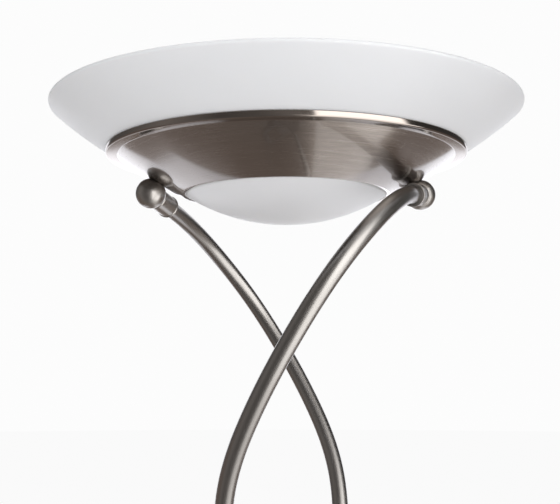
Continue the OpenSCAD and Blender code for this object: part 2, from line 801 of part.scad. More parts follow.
// Leads from the right stud to the terminal block, and on to the two holders
module head_leads() {
    dir = [stud_dir[0], 0, stud_dir[1]];
    mouth = [stud_at[0], 0, stud_at[1]] + (bowl_t + stud_out) * dir;
    way = block[0] / 3;
    low = bar_z - block[2] / 2;
    beside = bar_w / 2 + 5;
    holder_end = holder_x + holder_l;
    face = block[1] / 2;
    color([0.85, 0.83, 0.78]) {
        swept_bar(spline([
            mouth - 12 * dir, mouth - 2 * dir, mouth + 9 * dir, mouth + [-16, 8, 10],
            [holder_end + 12, beside, bar_z + 16], [holder_end - 4, beside + 2, bar_z - 1],
            [holder_x - 6, beside, low - 3], [way + 13, face + 10, low - 2], [way + 3, face + 9, low],
            [way, face + 5, low], [way, face, low], [way, face - 4, low], [way, face - 10, low]
        ], 3), lead_r, [0.3, 1, 0.1], 8);
        twin() swept_bar(spline([
            [way, 3 - face, low], [way, -face, low], [way, -face - 3, low], [way + 1, -face - 7, low],
            [way + 12, -face - 7, low - 2], [lead_hole_x - 5, -8, low - 1],
            [lead_hole_x, 0, bar_z - 1], [lead_hole_x + 1, 0, bar_z + 5],
            [holder_x - 4, 0, bar_z + bar_t + 3], [holder_x + notch - 1, 0, bar_z + bar_t + 2.5],
            [holder_x + notch + 4, 0, bar_z + bar_t + 2.5]
        ], 3), lead_r, [1, 0.4, 0.2], 8);
    }
}

base_pad();
base_weight();
base_cover();
socket_right();
socket_left();
socket_bolts();
socket_washers();
inlet_bush();
dimmer_body();
dimmer_nut();
dimmer_spindle();
dimmer_knob();
arm_right();
arm_left();
collar_right();
collar_left();
ball_right();
ball_left();
stud_right();
stud_left();
stud_washers();
stud_nuts();
bowl_ring();
dish_gasket();
glass_dish();
glass_dome();
crossbar();
lampholder_right();
lampholder_left();
holder_screws();
lamp_contacts();
halogen_lamp();
lamp_caps();
terminal_block();
earth_screw();
head_leads();
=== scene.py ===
# %% [markdown]
# # A torchiere floor lamp
# This lesson dresses the solids of a floor lamp. Two bent tubes wind round each
# other from a heavy round base up to a shallow bowl of brushed metal. The bowl
# carries a wide dish of white opal glass, and a small opal dome closes it below.
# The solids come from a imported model, which stays fixed. Every new piece is
# worked out from the same sizes, in metres, and takes the place of its solid.

import math

import bmesh
import bpy
import numpy as np
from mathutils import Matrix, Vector


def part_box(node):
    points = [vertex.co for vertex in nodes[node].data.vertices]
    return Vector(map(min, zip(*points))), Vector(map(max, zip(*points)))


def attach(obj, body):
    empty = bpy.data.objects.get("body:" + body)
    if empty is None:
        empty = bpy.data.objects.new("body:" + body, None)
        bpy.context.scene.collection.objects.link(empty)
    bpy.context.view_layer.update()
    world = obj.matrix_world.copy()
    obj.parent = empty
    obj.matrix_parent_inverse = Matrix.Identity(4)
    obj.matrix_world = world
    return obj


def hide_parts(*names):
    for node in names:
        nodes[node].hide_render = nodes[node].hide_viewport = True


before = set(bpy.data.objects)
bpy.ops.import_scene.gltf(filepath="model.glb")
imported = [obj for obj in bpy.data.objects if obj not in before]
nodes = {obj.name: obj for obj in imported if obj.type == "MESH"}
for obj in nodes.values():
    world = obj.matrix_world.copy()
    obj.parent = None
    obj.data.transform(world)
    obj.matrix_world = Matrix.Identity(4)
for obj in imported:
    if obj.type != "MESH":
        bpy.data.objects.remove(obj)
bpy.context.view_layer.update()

# %% [markdown]
# ## The camera
# The lamp is seen from close by, a little below its head, which is why the tubes
# look thicker as they come forward. A long lens at a short distance gives that
# view. The camera looks slightly upwards, and the lamp stands a little to the
# right of the picture's middle.

# %% Camera
TURN = math.radians(2.3)          # the camera stands this far round to the left
DISTANCE = 0.9414                 # from the lamp's axis
CAMERA_HEIGHT = 1.5931
LOOK_UP = math.radians(6.52)
AIM_LEFT = math.radians(0.333)
LENS, SENSOR = 68.5, 36           # millimetres


def in_scene(name, data):
    """A new object that shows this data, at the origin."""
    thing = bpy.data.objects.new(name, data)
    bpy.context.scene.collection.objects.link(thing)
    return thing


camera = in_scene("camera", bpy.data.cameras.new("camera"))
camera.data.lens, camera.data.sensor_width = LENS, SENSOR
camera.data.dof.use_dof = False
camera.location = (-DISTANCE * math.sin(TURN), -DISTANCE * math.cos(TURN), CAMERA_HEIGHT)
camera.rotation_euler = (math.radians(90) + LOOK_UP, 0, AIM_LEFT - TURN)
bpy.context.scene.camera = camera
print("camera at", [round(x, 3) for x in camera.location])

# %% [markdown]
# ## A kit for node materials
# A material is a small network of nodes. Writing `node.inputs[...]` again and
# again is tiresome, so one helper adds a node, sets its values and links what is
# given as another node's output. The others name what comes back often: first
# sums, eased steps and mixes, then patterns and shaders.

# %% Node helper
def rgb(r, g, b):
    return (r, g, b, 1.0)


class Nodes:
    """Adds nodes to one tree. A value that is a socket is linked, any other is set."""

    def __init__(self, tree):
        self.tree = tree
        tree.nodes.clear()

    def add(self, kind, inputs=(), **settings):
        made = self.tree.nodes.new(kind)
        for key, value in settings.items():
            setattr(made, key, value)
        for key, value in dict(inputs).items():
            if isinstance(value, bpy.types.NodeSocket):
                self.tree.links.new(value, made.inputs[key])
            else:
                made.inputs[key].default_value = value
        return made

    def math(self, operation, a, b=0.0):
        return self.add("ShaderNodeMath", {0: a, 1: b}, operation=operation).outputs[0]

    def times(self, a, b):
        return self.math("MULTIPLY", a, b)

    def parts(self, vector):
        """The three numbers of a vector."""
        return self.add("ShaderNodeSeparateXYZ", {0: vector}).outputs

    def range(self, value, low, high, to_low=0.0, to_high=1.0):
        """Carries low..high over to to_low..to_high, eased at both ends."""
        inputs = {"Value": value, "From Min": low, "From Max": high}
        inputs |= {"To Min": to_low, "To Max": to_high}
        made = self.add("ShaderNodeMapRange", inputs, interpolation_type="SMOOTHSTEP")
        return made.outputs["Result"]

    def edge(self, value, at, soft, before=0.0, after=1.0):
        """Goes from `before` to `after` where the value passes `at`, over `soft` on both sides."""
        return self.range(value, at - soft, at + soft, before, after)

    def mix(self, share, a, b):
        """Colour a where share is 0 and colour b where it is 1."""
        return self.add("ShaderNodeMix", {0: share, 6: a, 7: b}, data_type="RGBA").outputs[2]

    def ramp(self, value, stops):
        """A strip of greys: stops are (place from 0 to 1, grey)."""
        made = self.add("ShaderNodeValToRGB", {0: value})
        strip = made.color_ramp.elements
        for place, grey in stops[2:]:
            strip.new(place)
        for stop, (place, grey) in zip(strip, sorted(stops)):
            stop.position, stop.color = place, rgb(grey, grey, grey)
        return made.outputs["Color"]


print("nodes can be added")


# %% Patterns and shaders
class Looks(Nodes):
    """The same, with the patterns and shaders of a finish."""

    def place(self):
        return self.add("ShaderNodeTexCoord").outputs["Object"]

    def own_map(self):
        """U and V of the piece's own map."""
        return self.parts(self.add("ShaderNodeUVMap", uv_map="surface").outputs[0])[:2]

    def noise(self, vector, scale, detail=2.0, roughness=0.5):
        inputs = {"Vector": vector, "Scale": scale, "Detail": detail, "Roughness": roughness}
        return self.add("ShaderNodeTexNoise", inputs).outputs[0]

    def grained(self, grain, colour, shift, rough, spread):
        """Low places of the grain are darker and glossier by these shares, high ones the reverse."""
        dark, light = (rgb(*[min(1, c * (1 + way * shift)) for c in colour]) for way in (-1, 1))
        gloss = self.range(grain, 0.3, 0.7, rough * (1 - spread), min(1, rough * (1 + spread)))
        return {"Base Color": self.mix(self.range(grain, 0.35, 0.65), dark, light), "Roughness": gloss}

    def bump(self, height, distance, strength=1.0):
        inputs = {"Height": height, "Distance": distance, "Strength": strength}
        return self.add("ShaderNodeBump", inputs).outputs[0]

    def glow(self, colour):
        return self.add("ShaderNodeEmission", {"Color": colour, "Strength": 1.0}).outputs[0]

    def blend(self, share, a, b):
        """Shader a where share is 0 and shader b where it is 1."""
        return self.add("ShaderNodeMixShader", {0: share, 1: a, 2: b}).outputs[0]

    def skin(self, inputs):
        """The surface shader with these values, as the material's output."""
        made = self.add("ShaderNodeBsdfPrincipled", inputs)
        self.add("ShaderNodeOutputMaterial", {"Surface": made.outputs[0]})


def with_nodes(made):
    """A new material or world, and the helper for its tree."""
    made.use_nodes = True
    return made, Looks(made.node_tree)


print("the helpers are ready")

# %% [markdown]
# ## The studio
# A polished metal shows its surroundings, so the studio is half of its look. The
# lamp stands on a pale floor that runs out into white. What a mirror near the
# lamp's head would see is set by the angle round the lamp: a tall lit screen at
# the front on the right, which draws the long bright streaks down the tubes, a
# dim room, and lit paper behind the lamp. Dull surfaces get soft even light.

# %% What the metal sees
SCREEN = (15, 75)                  # degrees to the right, counted from the camera's side
SCREEN_SOFT = (1, 3)               # how soft its two edges are, in degrees
SCREEN_LIGHT = rgb(4.2, 4.18, 4.13)
PAPER = rgb(1.36, 1.36, 1.43)      # the lit paper behind the lamp
PAPER_FAR = rgb(1.95, 1.95, 2.05)  # the same, straight behind and further off
ROOM_TINT = (1.0, 0.94, 0.9)
ROOM_STRIP = [                     # degrees, and how bright the room is there
    (-180, 0.10), (-140, 0.13), (-124, 0.16), (-100, 0.27), (-82, 0.36), (-66, 0.29), (-42, 0.155),
    (-20, 0.20), (0, 0.32), (20, 0.32), (80, 0.09), (130, 0.07), (180, 0.10),
]


def room_seen(net, place, further=0):
    """The room's colour at an angle round the lamp, how much of the lit screen stands there, and
    the angle in degrees. `further` widens the screen on its right."""
    x, y = net.parts(place)[:2]
    angle = net.times(net.math("ARCTAN2", x, net.times(y, -1.0)), 180 / math.pi)
    share = net.math("ADD", net.math("DIVIDE", angle, 360.0), 0.5)
    room = net.ramp(share, [(turn / 360 + 0.5, grey) for turn, grey in ROOM_STRIP])
    room = net.add("ShaderNodeVectorMath", {0: room, 1: ROOM_TINT}, operation="MULTIPLY").outputs[0]
    left = net.edge(angle, SCREEN[0], SCREEN_SOFT[0])
    right = net.edge(angle, SCREEN[1] + further, SCREEN_SOFT[1], 1.0, 0.0)
    return room, net.times(left, right), angle


print("the screen fills", SCREEN[1] - SCREEN[0], "degrees")

# %% [markdown]
# ## The floor
# The eye sees a plain pale floor. The metal sees more in it: the room's tones,
# a dark patch behind the lamp's foot, the foot of the lit paper with the lamp's
# own long shade in its middle, and at the right a pool of light from the screen.
# Real cards and lamps could stand there, but they would be in the way from other
# sides. One material that shows them to mirrors alone keeps the room plain.

# %% Where the floor changes
FLOOR_RADIUS = 30.0
FADE = (1.2, 4.5)                  # the floor turns white between these radii
UNDERFOOT = rgb(0.26, 0.21, 0.182)
PAPER_NEAR, PAPER_SLANT = 1.32, 0.2  # the paper lies this far behind the lamp, more at its sides
PAPER_HALF, PAPER_FLARE, PAPER_FAN = 0.88, 0.3, 0.58  # half its width, and how it widens
PAPER_SIDES = (-0.2, 0.15)         # its sides fade out between these
SHADE_LENGTH = 8.4                 # straight behind, the paper is dark as far as this
SHADE_SIDES = (0.25, 0.31)         # width over depth, from the shade's edge to the clear paper
POOL_EDGE = rgb(0.90, 0.865, 0.84)
POOL = rgb(1.12, 1.08, 1.05)       # the pool of light at the right
POOL_GROWS = (0.4, 1.0)            # it goes from the edge's light to its own between these
POOL_LEFT, POOL_RIGHT = 0.32, 1.03
POOL_END, POOL_SLOPE = 1.53, 0.7   # beyond its right limit it ends on this slanting line
SCREEN_FLOOR = (0.9, 1.7, 0.1, 0.65)  # the screen's share grows so between these radii
SCREEN_FURTHER = 13                # degrees that the screen's light reaches further round
print("the lit paper starts", PAPER_NEAR, "m behind the lamp")


# %% A flat disc
def full_turn(count):
    """Evenly spaced angles once round."""
    return np.linspace(0, 2 * math.pi, count, endpoint=False)


def disc(name, radius, z, sides=96):
    """Points on a circle, radius times (cosine, sine), joined by one flat face."""
    turn = full_turn(sides)
    points = np.stack([radius * np.cos(turn), radius * np.sin(turn), np.full(sides, z)], 1)
    mesh = bpy.data.meshes.new(name)
    mesh.from_pydata(points.tolist(), [], [list(range(sides))])
    return in_scene(name, mesh)


floor = disc("floor", FLOOR_RADIUS, -0.0005)
print("floor", FLOOR_RADIUS, "m out")


# %% Floor
def floor_material():
    """Pale for the eye; for a mirror the room, the screen, the pool, and the paper on top."""
    made, net = with_nodes(bpy.data.materials.new("studio_floor"))
    place = net.place()
    away = net.add("ShaderNodeVectorMath", {0: place}, operation="LENGTH").outputs["Value"]
    tone = net.mix(net.noise(place, 3.0, 3.0), rgb(0.80, 0.80, 0.80), rgb(0.85, 0.85, 0.845))
    near = net.add("ShaderNodeBsdfPrincipled", {"Base Color": tone, "Roughness": 0.7}).outputs[0]
    pale = net.blend(net.range(away, *FADE), near, net.glow(rgb(0.955, 0.955, 0.955)))

    right, deep = net.parts(place)[:2]
    wide = net.math("ABSOLUTE", right)
    room, screen, angle = room_seen(net, place, SCREEN_FURTHER)
    aside = net.range(net.math("DIVIDE", wide, net.math("MAXIMUM", deep, 0.1)), *SHADE_SIDES)
    clear = net.math("MAXIMUM", aside, net.edge(away, SHADE_LENGTH, 0.2))
    half = net.math("ADD", net.times(deep, PAPER_FLARE), PAPER_HALF)
    over = net.math("SUBTRACT", wide, net.math("MAXIMUM", half, net.times(deep, PAPER_FAN)))
    front = net.math("SUBTRACT", deep, net.times(wide, PAPER_SLANT))
    paper = net.times(net.edge(front, PAPER_NEAR, 0.1), clear)
    paper = net.times(paper, net.range(over, *PAPER_SIDES, 1.0, 0.0))

    slant = net.math("ADD", deep, net.times(wide, POOL_SLOPE))
    before_end = net.edge(slant, POOL_END, 0.08, 1.0, 0.0)
    pool = net.math("MAXIMUM", before_end, net.edge(right, POOL_RIGHT, 0.05, 1.0, 0.0))
    pool = net.times(pool, net.edge(right, POOL_LEFT, 0.02))
    dim = net.mix(net.edge(deep, 0, 0.1), room, UNDERFOOT)
    dim = net.mix(pool, dim, net.mix(net.range(right, *POOL_GROWS), POOL_EDGE, POOL))
    lit = net.mix(net.times(screen, net.range(away, *SCREEN_FLOOR)), dim, SCREEN_LIGHT)
    mirrored = net.glow(net.mix(paper, lit, net.mix(aside, PAPER_FAR, PAPER)))
    glossy = net.add("ShaderNodeLightPath").outputs["Is Glossy Ray"]
    net.add("ShaderNodeOutputMaterial", {"Surface": net.blend(glossy, pale, mirrored)})
    return made


floor.data.materials.append(floor_material())
print("the floor is white from", FADE[1], "m")

# %% World
FILL = rgb(0.42, 0.42, 0.425)      # what the walls give to dull surfaces
SEEN_WHITE = rgb(0.975, 0.975, 0.975)
PAPER_END = 31                     # the paper's half width far behind, in degrees
SCREEN_TOP = (0.45, 0.9, 1.0, 0.2)  # between these heights the screen fades from 1 to 0.2


def studio_world():
    """The room, the screen and the paper for the metal; the camera itself sees plain white."""
    world, net = with_nodes(bpy.data.worlds.new("studio"))
    way = net.add("ShaderNodeTexCoord").outputs["Generated"]
    path = net.add("ShaderNodeLightPath").outputs
    room, screen, angle = room_seen(net, way)
    screen = net.times(screen, net.range(net.parts(way)[2], *SCREEN_TOP))
    behind = net.edge(net.math("ABSOLUTE", angle), 180 - PAPER_END, 3)
    mirrored = net.mix(behind, net.mix(screen, room, SCREEN_LIGHT), PAPER)
    walls = net.mix(path["Is Glossy Ray"], FILL, mirrored)
    colour = net.mix(path["Is Camera Ray"], walls, SEEN_WHITE)
    light = net.add("ShaderNodeBackground", {"Color": colour, "Strength": 1.0})
    net.add("ShaderNodeOutputWorld", {"Surface": light.outputs[0]})
    return world


bpy.context.scene.world = studio_world()
bpy.context.scene.view_settings.view_transform = "Standard"
print("world set")

# %% Soft lights
HEAD = np.array([0.0, 0.0, 1.75])


def softbox(name, azimuth, elevation, distance, width, height, radiance):
    """A flat light that faces the lamp's head. Azimuth is counted from the camera to the right."""
    a = math.radians(azimuth) - TURN
    e = math.radians(elevation)
    back = np.array([math.sin(a) * math.cos(e), -math.cos(a) * math.cos(e), math.sin(e)])
    lamp = in_scene(name, bpy.data.lights.new(name, "AREA"))
    lamp.data.shape = "RECTANGLE"
    lamp.data.size, lamp.data.size_y = width, height
    lamp.data.energy = radiance * math.pi * width * height
    lamp.location = HEAD + distance * back
    lamp.rotation_mode = "QUATERNION"
    lamp.rotation_quaternion = Vector(-back).to_track_quat("-Z", "Y")
    lamp.visible_camera = False
    return lamp


front_light = softbox("light_front", 14, -6, 2.6, 2.6, 2.4, 1.82)
front_light.visible_glossy = False
softbox("light_top", 0, 89, 1.4, 1.6, 1.6, 1.0)
print("two soft lights")

# %% [markdown]
# ## Surfaces from grids
# Nearly every piece here is a grid of points: a profile turned round an axis, or
# a ring carried along a line. One function turns such a grid into a mesh. It
# closes the grid in one or both directions, welds a row that has shrunk to a
# pole into one point, and turns the faces outwards by the sign of the volume.

# %% From a grid to a mesh
def grid_piece(name, grid, along, close_rows=False):
    """Joins each cell's four corners. grid is (rows, columns, 3), and its columns close on
    themselves. The map's U is `along`, a length for each row. V goes from 0 to 1 round the columns."""
    rows, cols = grid.shape[:2]
    i, k = np.meshgrid(np.arange(rows if close_rows else rows - 1), np.arange(cols), indexing="ij")
    corner_i = np.stack([i, i, i + 1, i + 1], -1).reshape(-1, 4)
    corner_k = np.stack([k, k + 1, k + 1, k], -1).reshape(-1, 4)
    number = (corner_i % rows) * cols + corner_k % cols
    points = grid.reshape(-1, 3)
    a, b, c, d = (points[number[:, n]] for n in range(4))
    volume = np.einsum("ij,ij->i", a, np.cross(b, c)) + np.einsum("ij,ij->i", a, np.cross(c, d))
    if volume.sum() < 0:
        number, corner_i, corner_k = number[:, ::-1], corner_i[:, ::-1], corner_k[:, ::-1]
    maps = np.stack([np.asarray(along, float)[corner_i % rows], corner_k / cols], -1)
    keep = np.ones(number.shape, bool)
    for end in (0, rows - 1):
        if np.ptp(grid[end], axis=0).max() < 1e-9:
            here = corner_i == end
            number = np.where(here, end * cols, number)
            keep &= ~here | (np.cumsum(here, axis=1) == 1)
    counts = keep.sum(1)
    used, flat = np.unique(number[keep], return_inverse=True)
    mesh = bpy.data.meshes.new(name)
    mesh.vertices.add(len(used))
    mesh.vertices.foreach_set("co", points[used].astype(np.float32).ravel())
    mesh.loops.add(len(flat))
    mesh.loops.foreach_set("vertex_index", flat.astype(np.int32))
    mesh.polygons.add(len(counts))
    starts = np.concatenate([[0], np.cumsum(counts)[:-1]])
    mesh.polygons.foreach_set("loop_start", starts.astype(np.int32))
    mesh.polygons.foreach_set("loop_total", counts.astype(np.int32))
    mesh.polygons.foreach_set("use_smooth", np.ones(len(counts), bool))
    layer = mesh.uv_layers.new(name="surface")
    layer.data.foreach_set("uv", maps[keep].astype(np.float32).ravel())
    mesh.update(calc_edges=True)
    mesh.validate()
    return in_scene(name, mesh)


print("grids can be made into meshes")


# %% Finishing one piece or a pair
def finish_piece(thing, material, body, slot, *stands_for):
    """Gives a piece its finish, its body, and the solids that it stands for."""
    thing.data.materials.append(material)
    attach(thing, body)
    if stands_for:
        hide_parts(*stands_for)


HALF_ROUND = np.array([-1, -1, 1])


def finish_pair(right, left_name, material, slot, *stands_for):
    """Finishes a piece, and a copy turned half round the lamp's axis: (-x, -y, z)."""
    mesh = right.data.copy()
    mesh.name = left_name
    points = np.empty(len(mesh.vertices) * 3, np.float32)
    mesh.vertices.foreach_get("co", points)
    mesh.vertices.foreach_set("co", (points.reshape(-1, 3) * HALF_ROUND).astype(np.float32).ravel())
    mesh.update()
    left = in_scene(left_name, mesh)
    finish_piece(right, material, "lamp", slot, *stands_for[:1])
    finish_piece(left, material, "lamp", slot, *stands_for[1:])


print("pieces can be finished")

# %% [markdown]
# ## Profiles
# A turned piece starts as a line in the plane of radius and height. Real sheet
# metal has no sharp folds, so a helper rounds each corner with an arc. Another
# one gives the line a wall: it steps sideways by the thickness and comes back
# round the edge, which makes a closed outline.

# %% Ways and lengths
MM = 0.001


def unit(ways):
    """Each direction divided by its own length."""
    return ways / np.linalg.norm(ways, axis=-1, keepdims=True)


def lengths(line):
    """How far along the line each of its points lies."""
    return np.concatenate([[0], np.cumsum(np.linalg.norm(np.diff(line, axis=0), axis=1))])


print("a line of two steps, 3 and 4:", lengths(np.array([[0, 0], [3, 0], [3, 4]])))


# %% Arcs and rounded corners
def arc(start, end, sag, count):
    """Points on the circle through start and end that stands `sag` off their chord, to the right."""
    start, end = np.array(start, float), np.array(end, float)
    chord = np.linalg.norm(end - start)
    bend = chord**2 / (8 * sag) + sag / 2
    half = math.asin(chord / 2 / bend)
    middle = math.atan2(end[1] - start[1], end[0] - start[0])
    centre = start + bend * np.array([-math.sin(middle - half), math.cos(middle - half)])
    turn = middle + np.linspace(-half, half, count)
    return centre + bend * np.stack([np.sin(turn), -np.cos(turn)], 1)


def rounded(corners, count=6):
    """corners are (radius, height, rounding in mm). Each rounding is an arc that meets both sides."""
    points = np.array([corner[:2] for corner in corners], float)
    line = []
    for n, here in enumerate(points):
        fillet = corners[n][2] * MM
        if fillet <= 0 or n in (0, len(points) - 1):
            line.append(here[None])
            continue
        before, after = unit(points[n - 1] - here), unit(points[n + 1] - here)
        half = math.acos(np.clip(before @ after, -1, 1)) / 2
        middle = here + unit(before + after) * fillet / math.sin(half)
        first, last = (here + way * fillet / math.tan(half) - middle for way in (before, after))
        bend = math.pi - 2 * half
        share = np.linspace(0, bend, count)[:, None]
        line.append(middle + (np.sin(bend - share) * first + np.sin(share) * last) / math.sin(bend))
    return np.concatenate(line)


print("corners can be rounded")


# %% Walls and turning
def headings(line):
    """The heading at each point of a flat line, and the way square to it on its left."""
    step = unit(np.gradient(line, axis=0))
    return step, np.stack([-step[:, 1], step[:, 0]], 1)


def walled(line, wall, edge=7):
    """The outline of a sheet: the line, a half circle round its end, the line moved over by the
    wall, and a half circle back."""
    step, side = headings(line)
    turn = np.linspace(0, math.pi, edge + 2)[1:-1, None]
    out_cap = line[-1] + wall / 2 * (side[-1] + np.sin(turn) * step[-1] - np.cos(turn) * side[-1])
    in_cap = line[0] + wall / 2 * (side[0] + np.cos(turn) * side[0] - np.sin(turn) * step[0])
    return np.concatenate([line, out_cap, (line + wall * side)[::-1], in_cap])


def placed(grid, at, towards):
    """Tilts +Z over to `towards` and moves the origin to `at`."""
    w = unit(np.array(towards, float))
    tilt, turn = math.acos(w[2]), math.atan2(w[1], w[0])
    ct, st, cz, sz = math.cos(tilt), math.sin(tilt), math.cos(turn), math.sin(turn)
    over = np.array([[ct * cz, -sz, st * cz], [ct * sz, cz, st * sz], [-st, 0, ct]])
    return grid @ over.T + np.array(at, float)


def turned(name, profile, sides=128, at=(0, 0, 0), towards=(0, 0, 1), closed=True):
    """Turns the profile round an axis: a point is (radius cos t, radius sin t, height)."""
    turn = full_turn(sides)
    r, z = profile[:, :1], profile[:, 1:]
    grid = np.stack([r * np.cos(turn), r * np.sin(turn), z + 0 * turn], -1)
    return grid_piece(name, placed(grid, at, towards), lengths(profile), close_rows=closed)


print("profiles can be turned")

# %% [markdown]
# ## Brushed and polished metal
# The lamp is nickel plated. The bowl and the base are brushed in rings, so their
# highlights stretch across the brushing, from the middle to the rim. The bowl's
# lip is polished nearly to a mirror, and the tubes and balls are smooth but
# duller. Each finish reads the piece's own map, whose U runs along the profile
# and whose V runs round. V is first bent into a circle, so that the streaks have
# no seam.

# %% Metals
NICKEL = (0.27, 0.238, 0.216)


def ring_place(net, streak, lines):
    """(streak cos 2 pi v, streak sin 2 pi v, lines u): long round the piece and fine across it."""
    u, v = net.own_map()
    turn = net.times(v, 2 * math.pi)
    x = net.times(net.math("COSINE", turn), streak)
    y = net.times(net.math("SINE", turn), streak)
    return net.add("ShaderNodeCombineXYZ", {0: x, 1: y, 2: net.times(u, lines)}).outputs[0]


def metal(name, colour, rough, stretch, streak, lines, depth, shift, coat=1.0, coat_ior=1.5):
    """A metal whose brushing is noise drawn out into streaks. It varies colour, gloss and height."""
    made, net = with_nodes(bpy.data.materials.new(name))
    fine = net.noise(ring_place(net, streak, lines), 1.0, 3.0, 0.6)
    broad = net.noise(ring_place(net, streak * 0.4, lines * 0.12), 1.0)
    grain = net.math("ADD", net.times(fine, 0.7), net.times(broad, 0.3))
    tangent = net.add("ShaderNodeTangent", direction_type="UV_MAP", uv_map="surface").outputs[0]
    net.skin({
        **net.grained(grain, colour, shift, rough, 0.12), "Metallic": 1.0,
        "Anisotropic": stretch, "Tangent": tangent, "Normal": net.bump(grain, depth),
        "Coat Weight": coat, "Coat Roughness": 0.07, "Coat IOR": coat_ior,
    })
    return made


bowl_metal = metal("bowl_nickel", NICKEL, 0.25, 1.0, 7.0, 2600, 0.000005, 0.10, 1.0, 1.7)
rim_metal = metal("rim_nickel", NICKEL, 0.11, 0.0, 7.0, 2600, 0.0000004, 0.05, 0.3)
base_metal = metal("base_nickel", NICKEL, 0.42, 1.0, 7.0, 2600, 0.000006, 0.10)
tube_metal = metal("tube_nickel", (0.275, 0.262, 0.25), 0.36, 0.0, 3.0, 25, 0.000001, 0.02, 0.4)
ball_metal = metal("ball_nickel", (0.33, 0.312, 0.296), 0.36, 0.3, 2.0, 1500, 0.0000012, 0.05, 0.6)
print("metals made")

# %% [markdown]
# ## Opal glass
# Opal glass is white through and through, and its skin is etched to a satin
# gloss. Light that enters spreads inside the wall before it leaves again, so a
# little of it is let through as subsurface light. A broad, weak noise varies
# the gloss, as etching does.

# %% Glass
def opal_glass(name, colour):
    """A broad noise varies the tint and the gloss, and a very fine one is the etched skin."""
    made, net = with_nodes(bpy.data.materials.new(name))
    place = net.place()
    cloud = net.noise(place, 22.0, 3.0)
    net.skin({
        "Base Color": net.mix(cloud, rgb(*[c * 0.985 for c in colour]), rgb(*colour)),
        "Roughness": net.range(cloud, 0.3, 0.7, 0.36, 0.44), "IOR": 1.52,
        "Normal": net.bump(net.noise(place, 2600.0), 0.00003, 0.3),
        "Subsurface Weight": 0.3, "Subsurface Radius": (1.0, 0.95, 0.9), "Subsurface Scale": 0.006,
    })
    return made


opal_dish = opal_glass("opal_dish", (0.80, 0.805, 0.82))
opal_dome = opal_glass("opal_dome", (0.78, 0.78, 0.795))
print("opal glass made")

# %% [markdown]
# ## The bowl
# The bowl is spun from one sheet 1.2 mm thick. From the middle outwards it has a
# turned-in hem that carries the dome, a bulging side, a level step that carries
# the dish, and a short upright lip. Its line is drawn with real bend radii,
# because the fold under the lip catches a thin bright line of light. The step
# and the lip are polished, so their faces get a finish of their own.

# %% Bowl
low = {name: np.array(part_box(name)[0]) for name in nodes}
high = {name: np.array(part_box(name)[1]) for name in nodes}

BOWL_WALL = 1.2 * MM
STEP_WIDTH = 10.5 * MM
BOWL_DEPTH = 33 * MM
BOWL_SAG = 2 * MM
MOUTH_R = 93 * MM
HEM = 3.5 * MM

lip_r, lip_z = high["bowl_ring"][0], high["bowl_ring"][2]
mouth_z = low["bowl_ring"][2]
step_z = mouth_z + BOWL_DEPTH
side_r = lip_r - STEP_WIDTH
polished_r = side_r + 0.2 * MM    # from here outwards the bowl is polished
bowl_side = arc((MOUTH_R, mouth_z), (side_r, step_z), BOWL_SAG, 40)


def bowl_line():
    """From the hem up the side, over the step and up the lip."""
    hem_in = rounded([
        (MOUTH_R - HEM + 0.5 * MM, mouth_z, 0), (MOUTH_R, mouth_z, 1.6), (*bowl_side[3], 0),
    ])
    fold = rounded([
        (*bowl_side[-4], 0), (side_r, step_z, 1.5), (lip_r, step_z, 1.7),
        (lip_r, lip_z - BOWL_WALL / 2, 0),
    ], 9)
    return np.concatenate([hem_in, bowl_side[4:-4], fold])


bowl = turned("bowl", walled(bowl_line(), BOWL_WALL), 256)
finish_piece(bowl, bowl_metal, "lamp", "satin_metal", "bowl_ring")
bowl.data.materials.append(rim_metal)
middles = np.empty(len(bowl.data.polygons) * 3)
bowl.data.polygons.foreach_get("center", middles)
polished = np.hypot(middles[0::3], middles[1::3]) > polished_r
bowl.data.polygons.foreach_set("material_index", polished.astype(np.int32))
print("bowl", len(bowl.data.polygons), "faces")

# %% [markdown]
# ## The dish and the dome
# The dish flares out of the bowl with a slight bulge, and its rim is fire
# polished into a half circle. Its foot is ground flat, so it sits on the soft
# ring in the step. The dome hangs in the mouth of the bowl by a small flange.
# Each could be one thin surface, but both are turned with a real wall, because
# light has to spread inside the glass.

# %% Dish
DISH_WALL = 4 * MM
DISH_SAG = 1.6 * MM
FREE = 0.8 * MM                   # between the dish and the lip

rim_r, rim_z = high["glass_dish"][0], high["glass_dish"][2]
foot_z = low["glass_dish"][2]
dish_rise = rim_z - lip_z
dish_out = lip_r - BOWL_WALL - FREE


def dish_line():
    """The wall's middle is an arc from the foot to the rim. The line is that arc, half a wall out."""
    half = DISH_WALL / 2
    chord = math.hypot(rim_r - dish_out, dish_rise)
    slope = math.atan2(dish_rise, rim_r - dish_out) - 4 * DISH_SAG / chord
    toe = dish_out - half / math.sin(slope) - (lip_z - foot_z) / math.tan(slope)
    middle = arc((toe, foot_z), (rim_r - half, rim_z - half), DISH_SAG, 60)
    return middle - half * headings(middle)[1]


dish_outline = walled(dish_line(), DISH_WALL, 15)
dish_outline[:, 1] = np.maximum(dish_outline[:, 1], foot_z)
dish = turned("dish", dish_outline, 256)
finish_piece(dish, opal_dish, "dish", "opal_glass", "glass_dish")
print("dish", round(2 * rim_r, 3), "m wide")

# %% Dome
DOME_WALL = 3 * MM
FLANGE = 2 * MM

hem_top = mouth_z + BOWL_WALL
dome_edge = MOUTH_R - HEM - 0.5 * MM
dome_depth = mouth_z - low["glass_dome"][2]


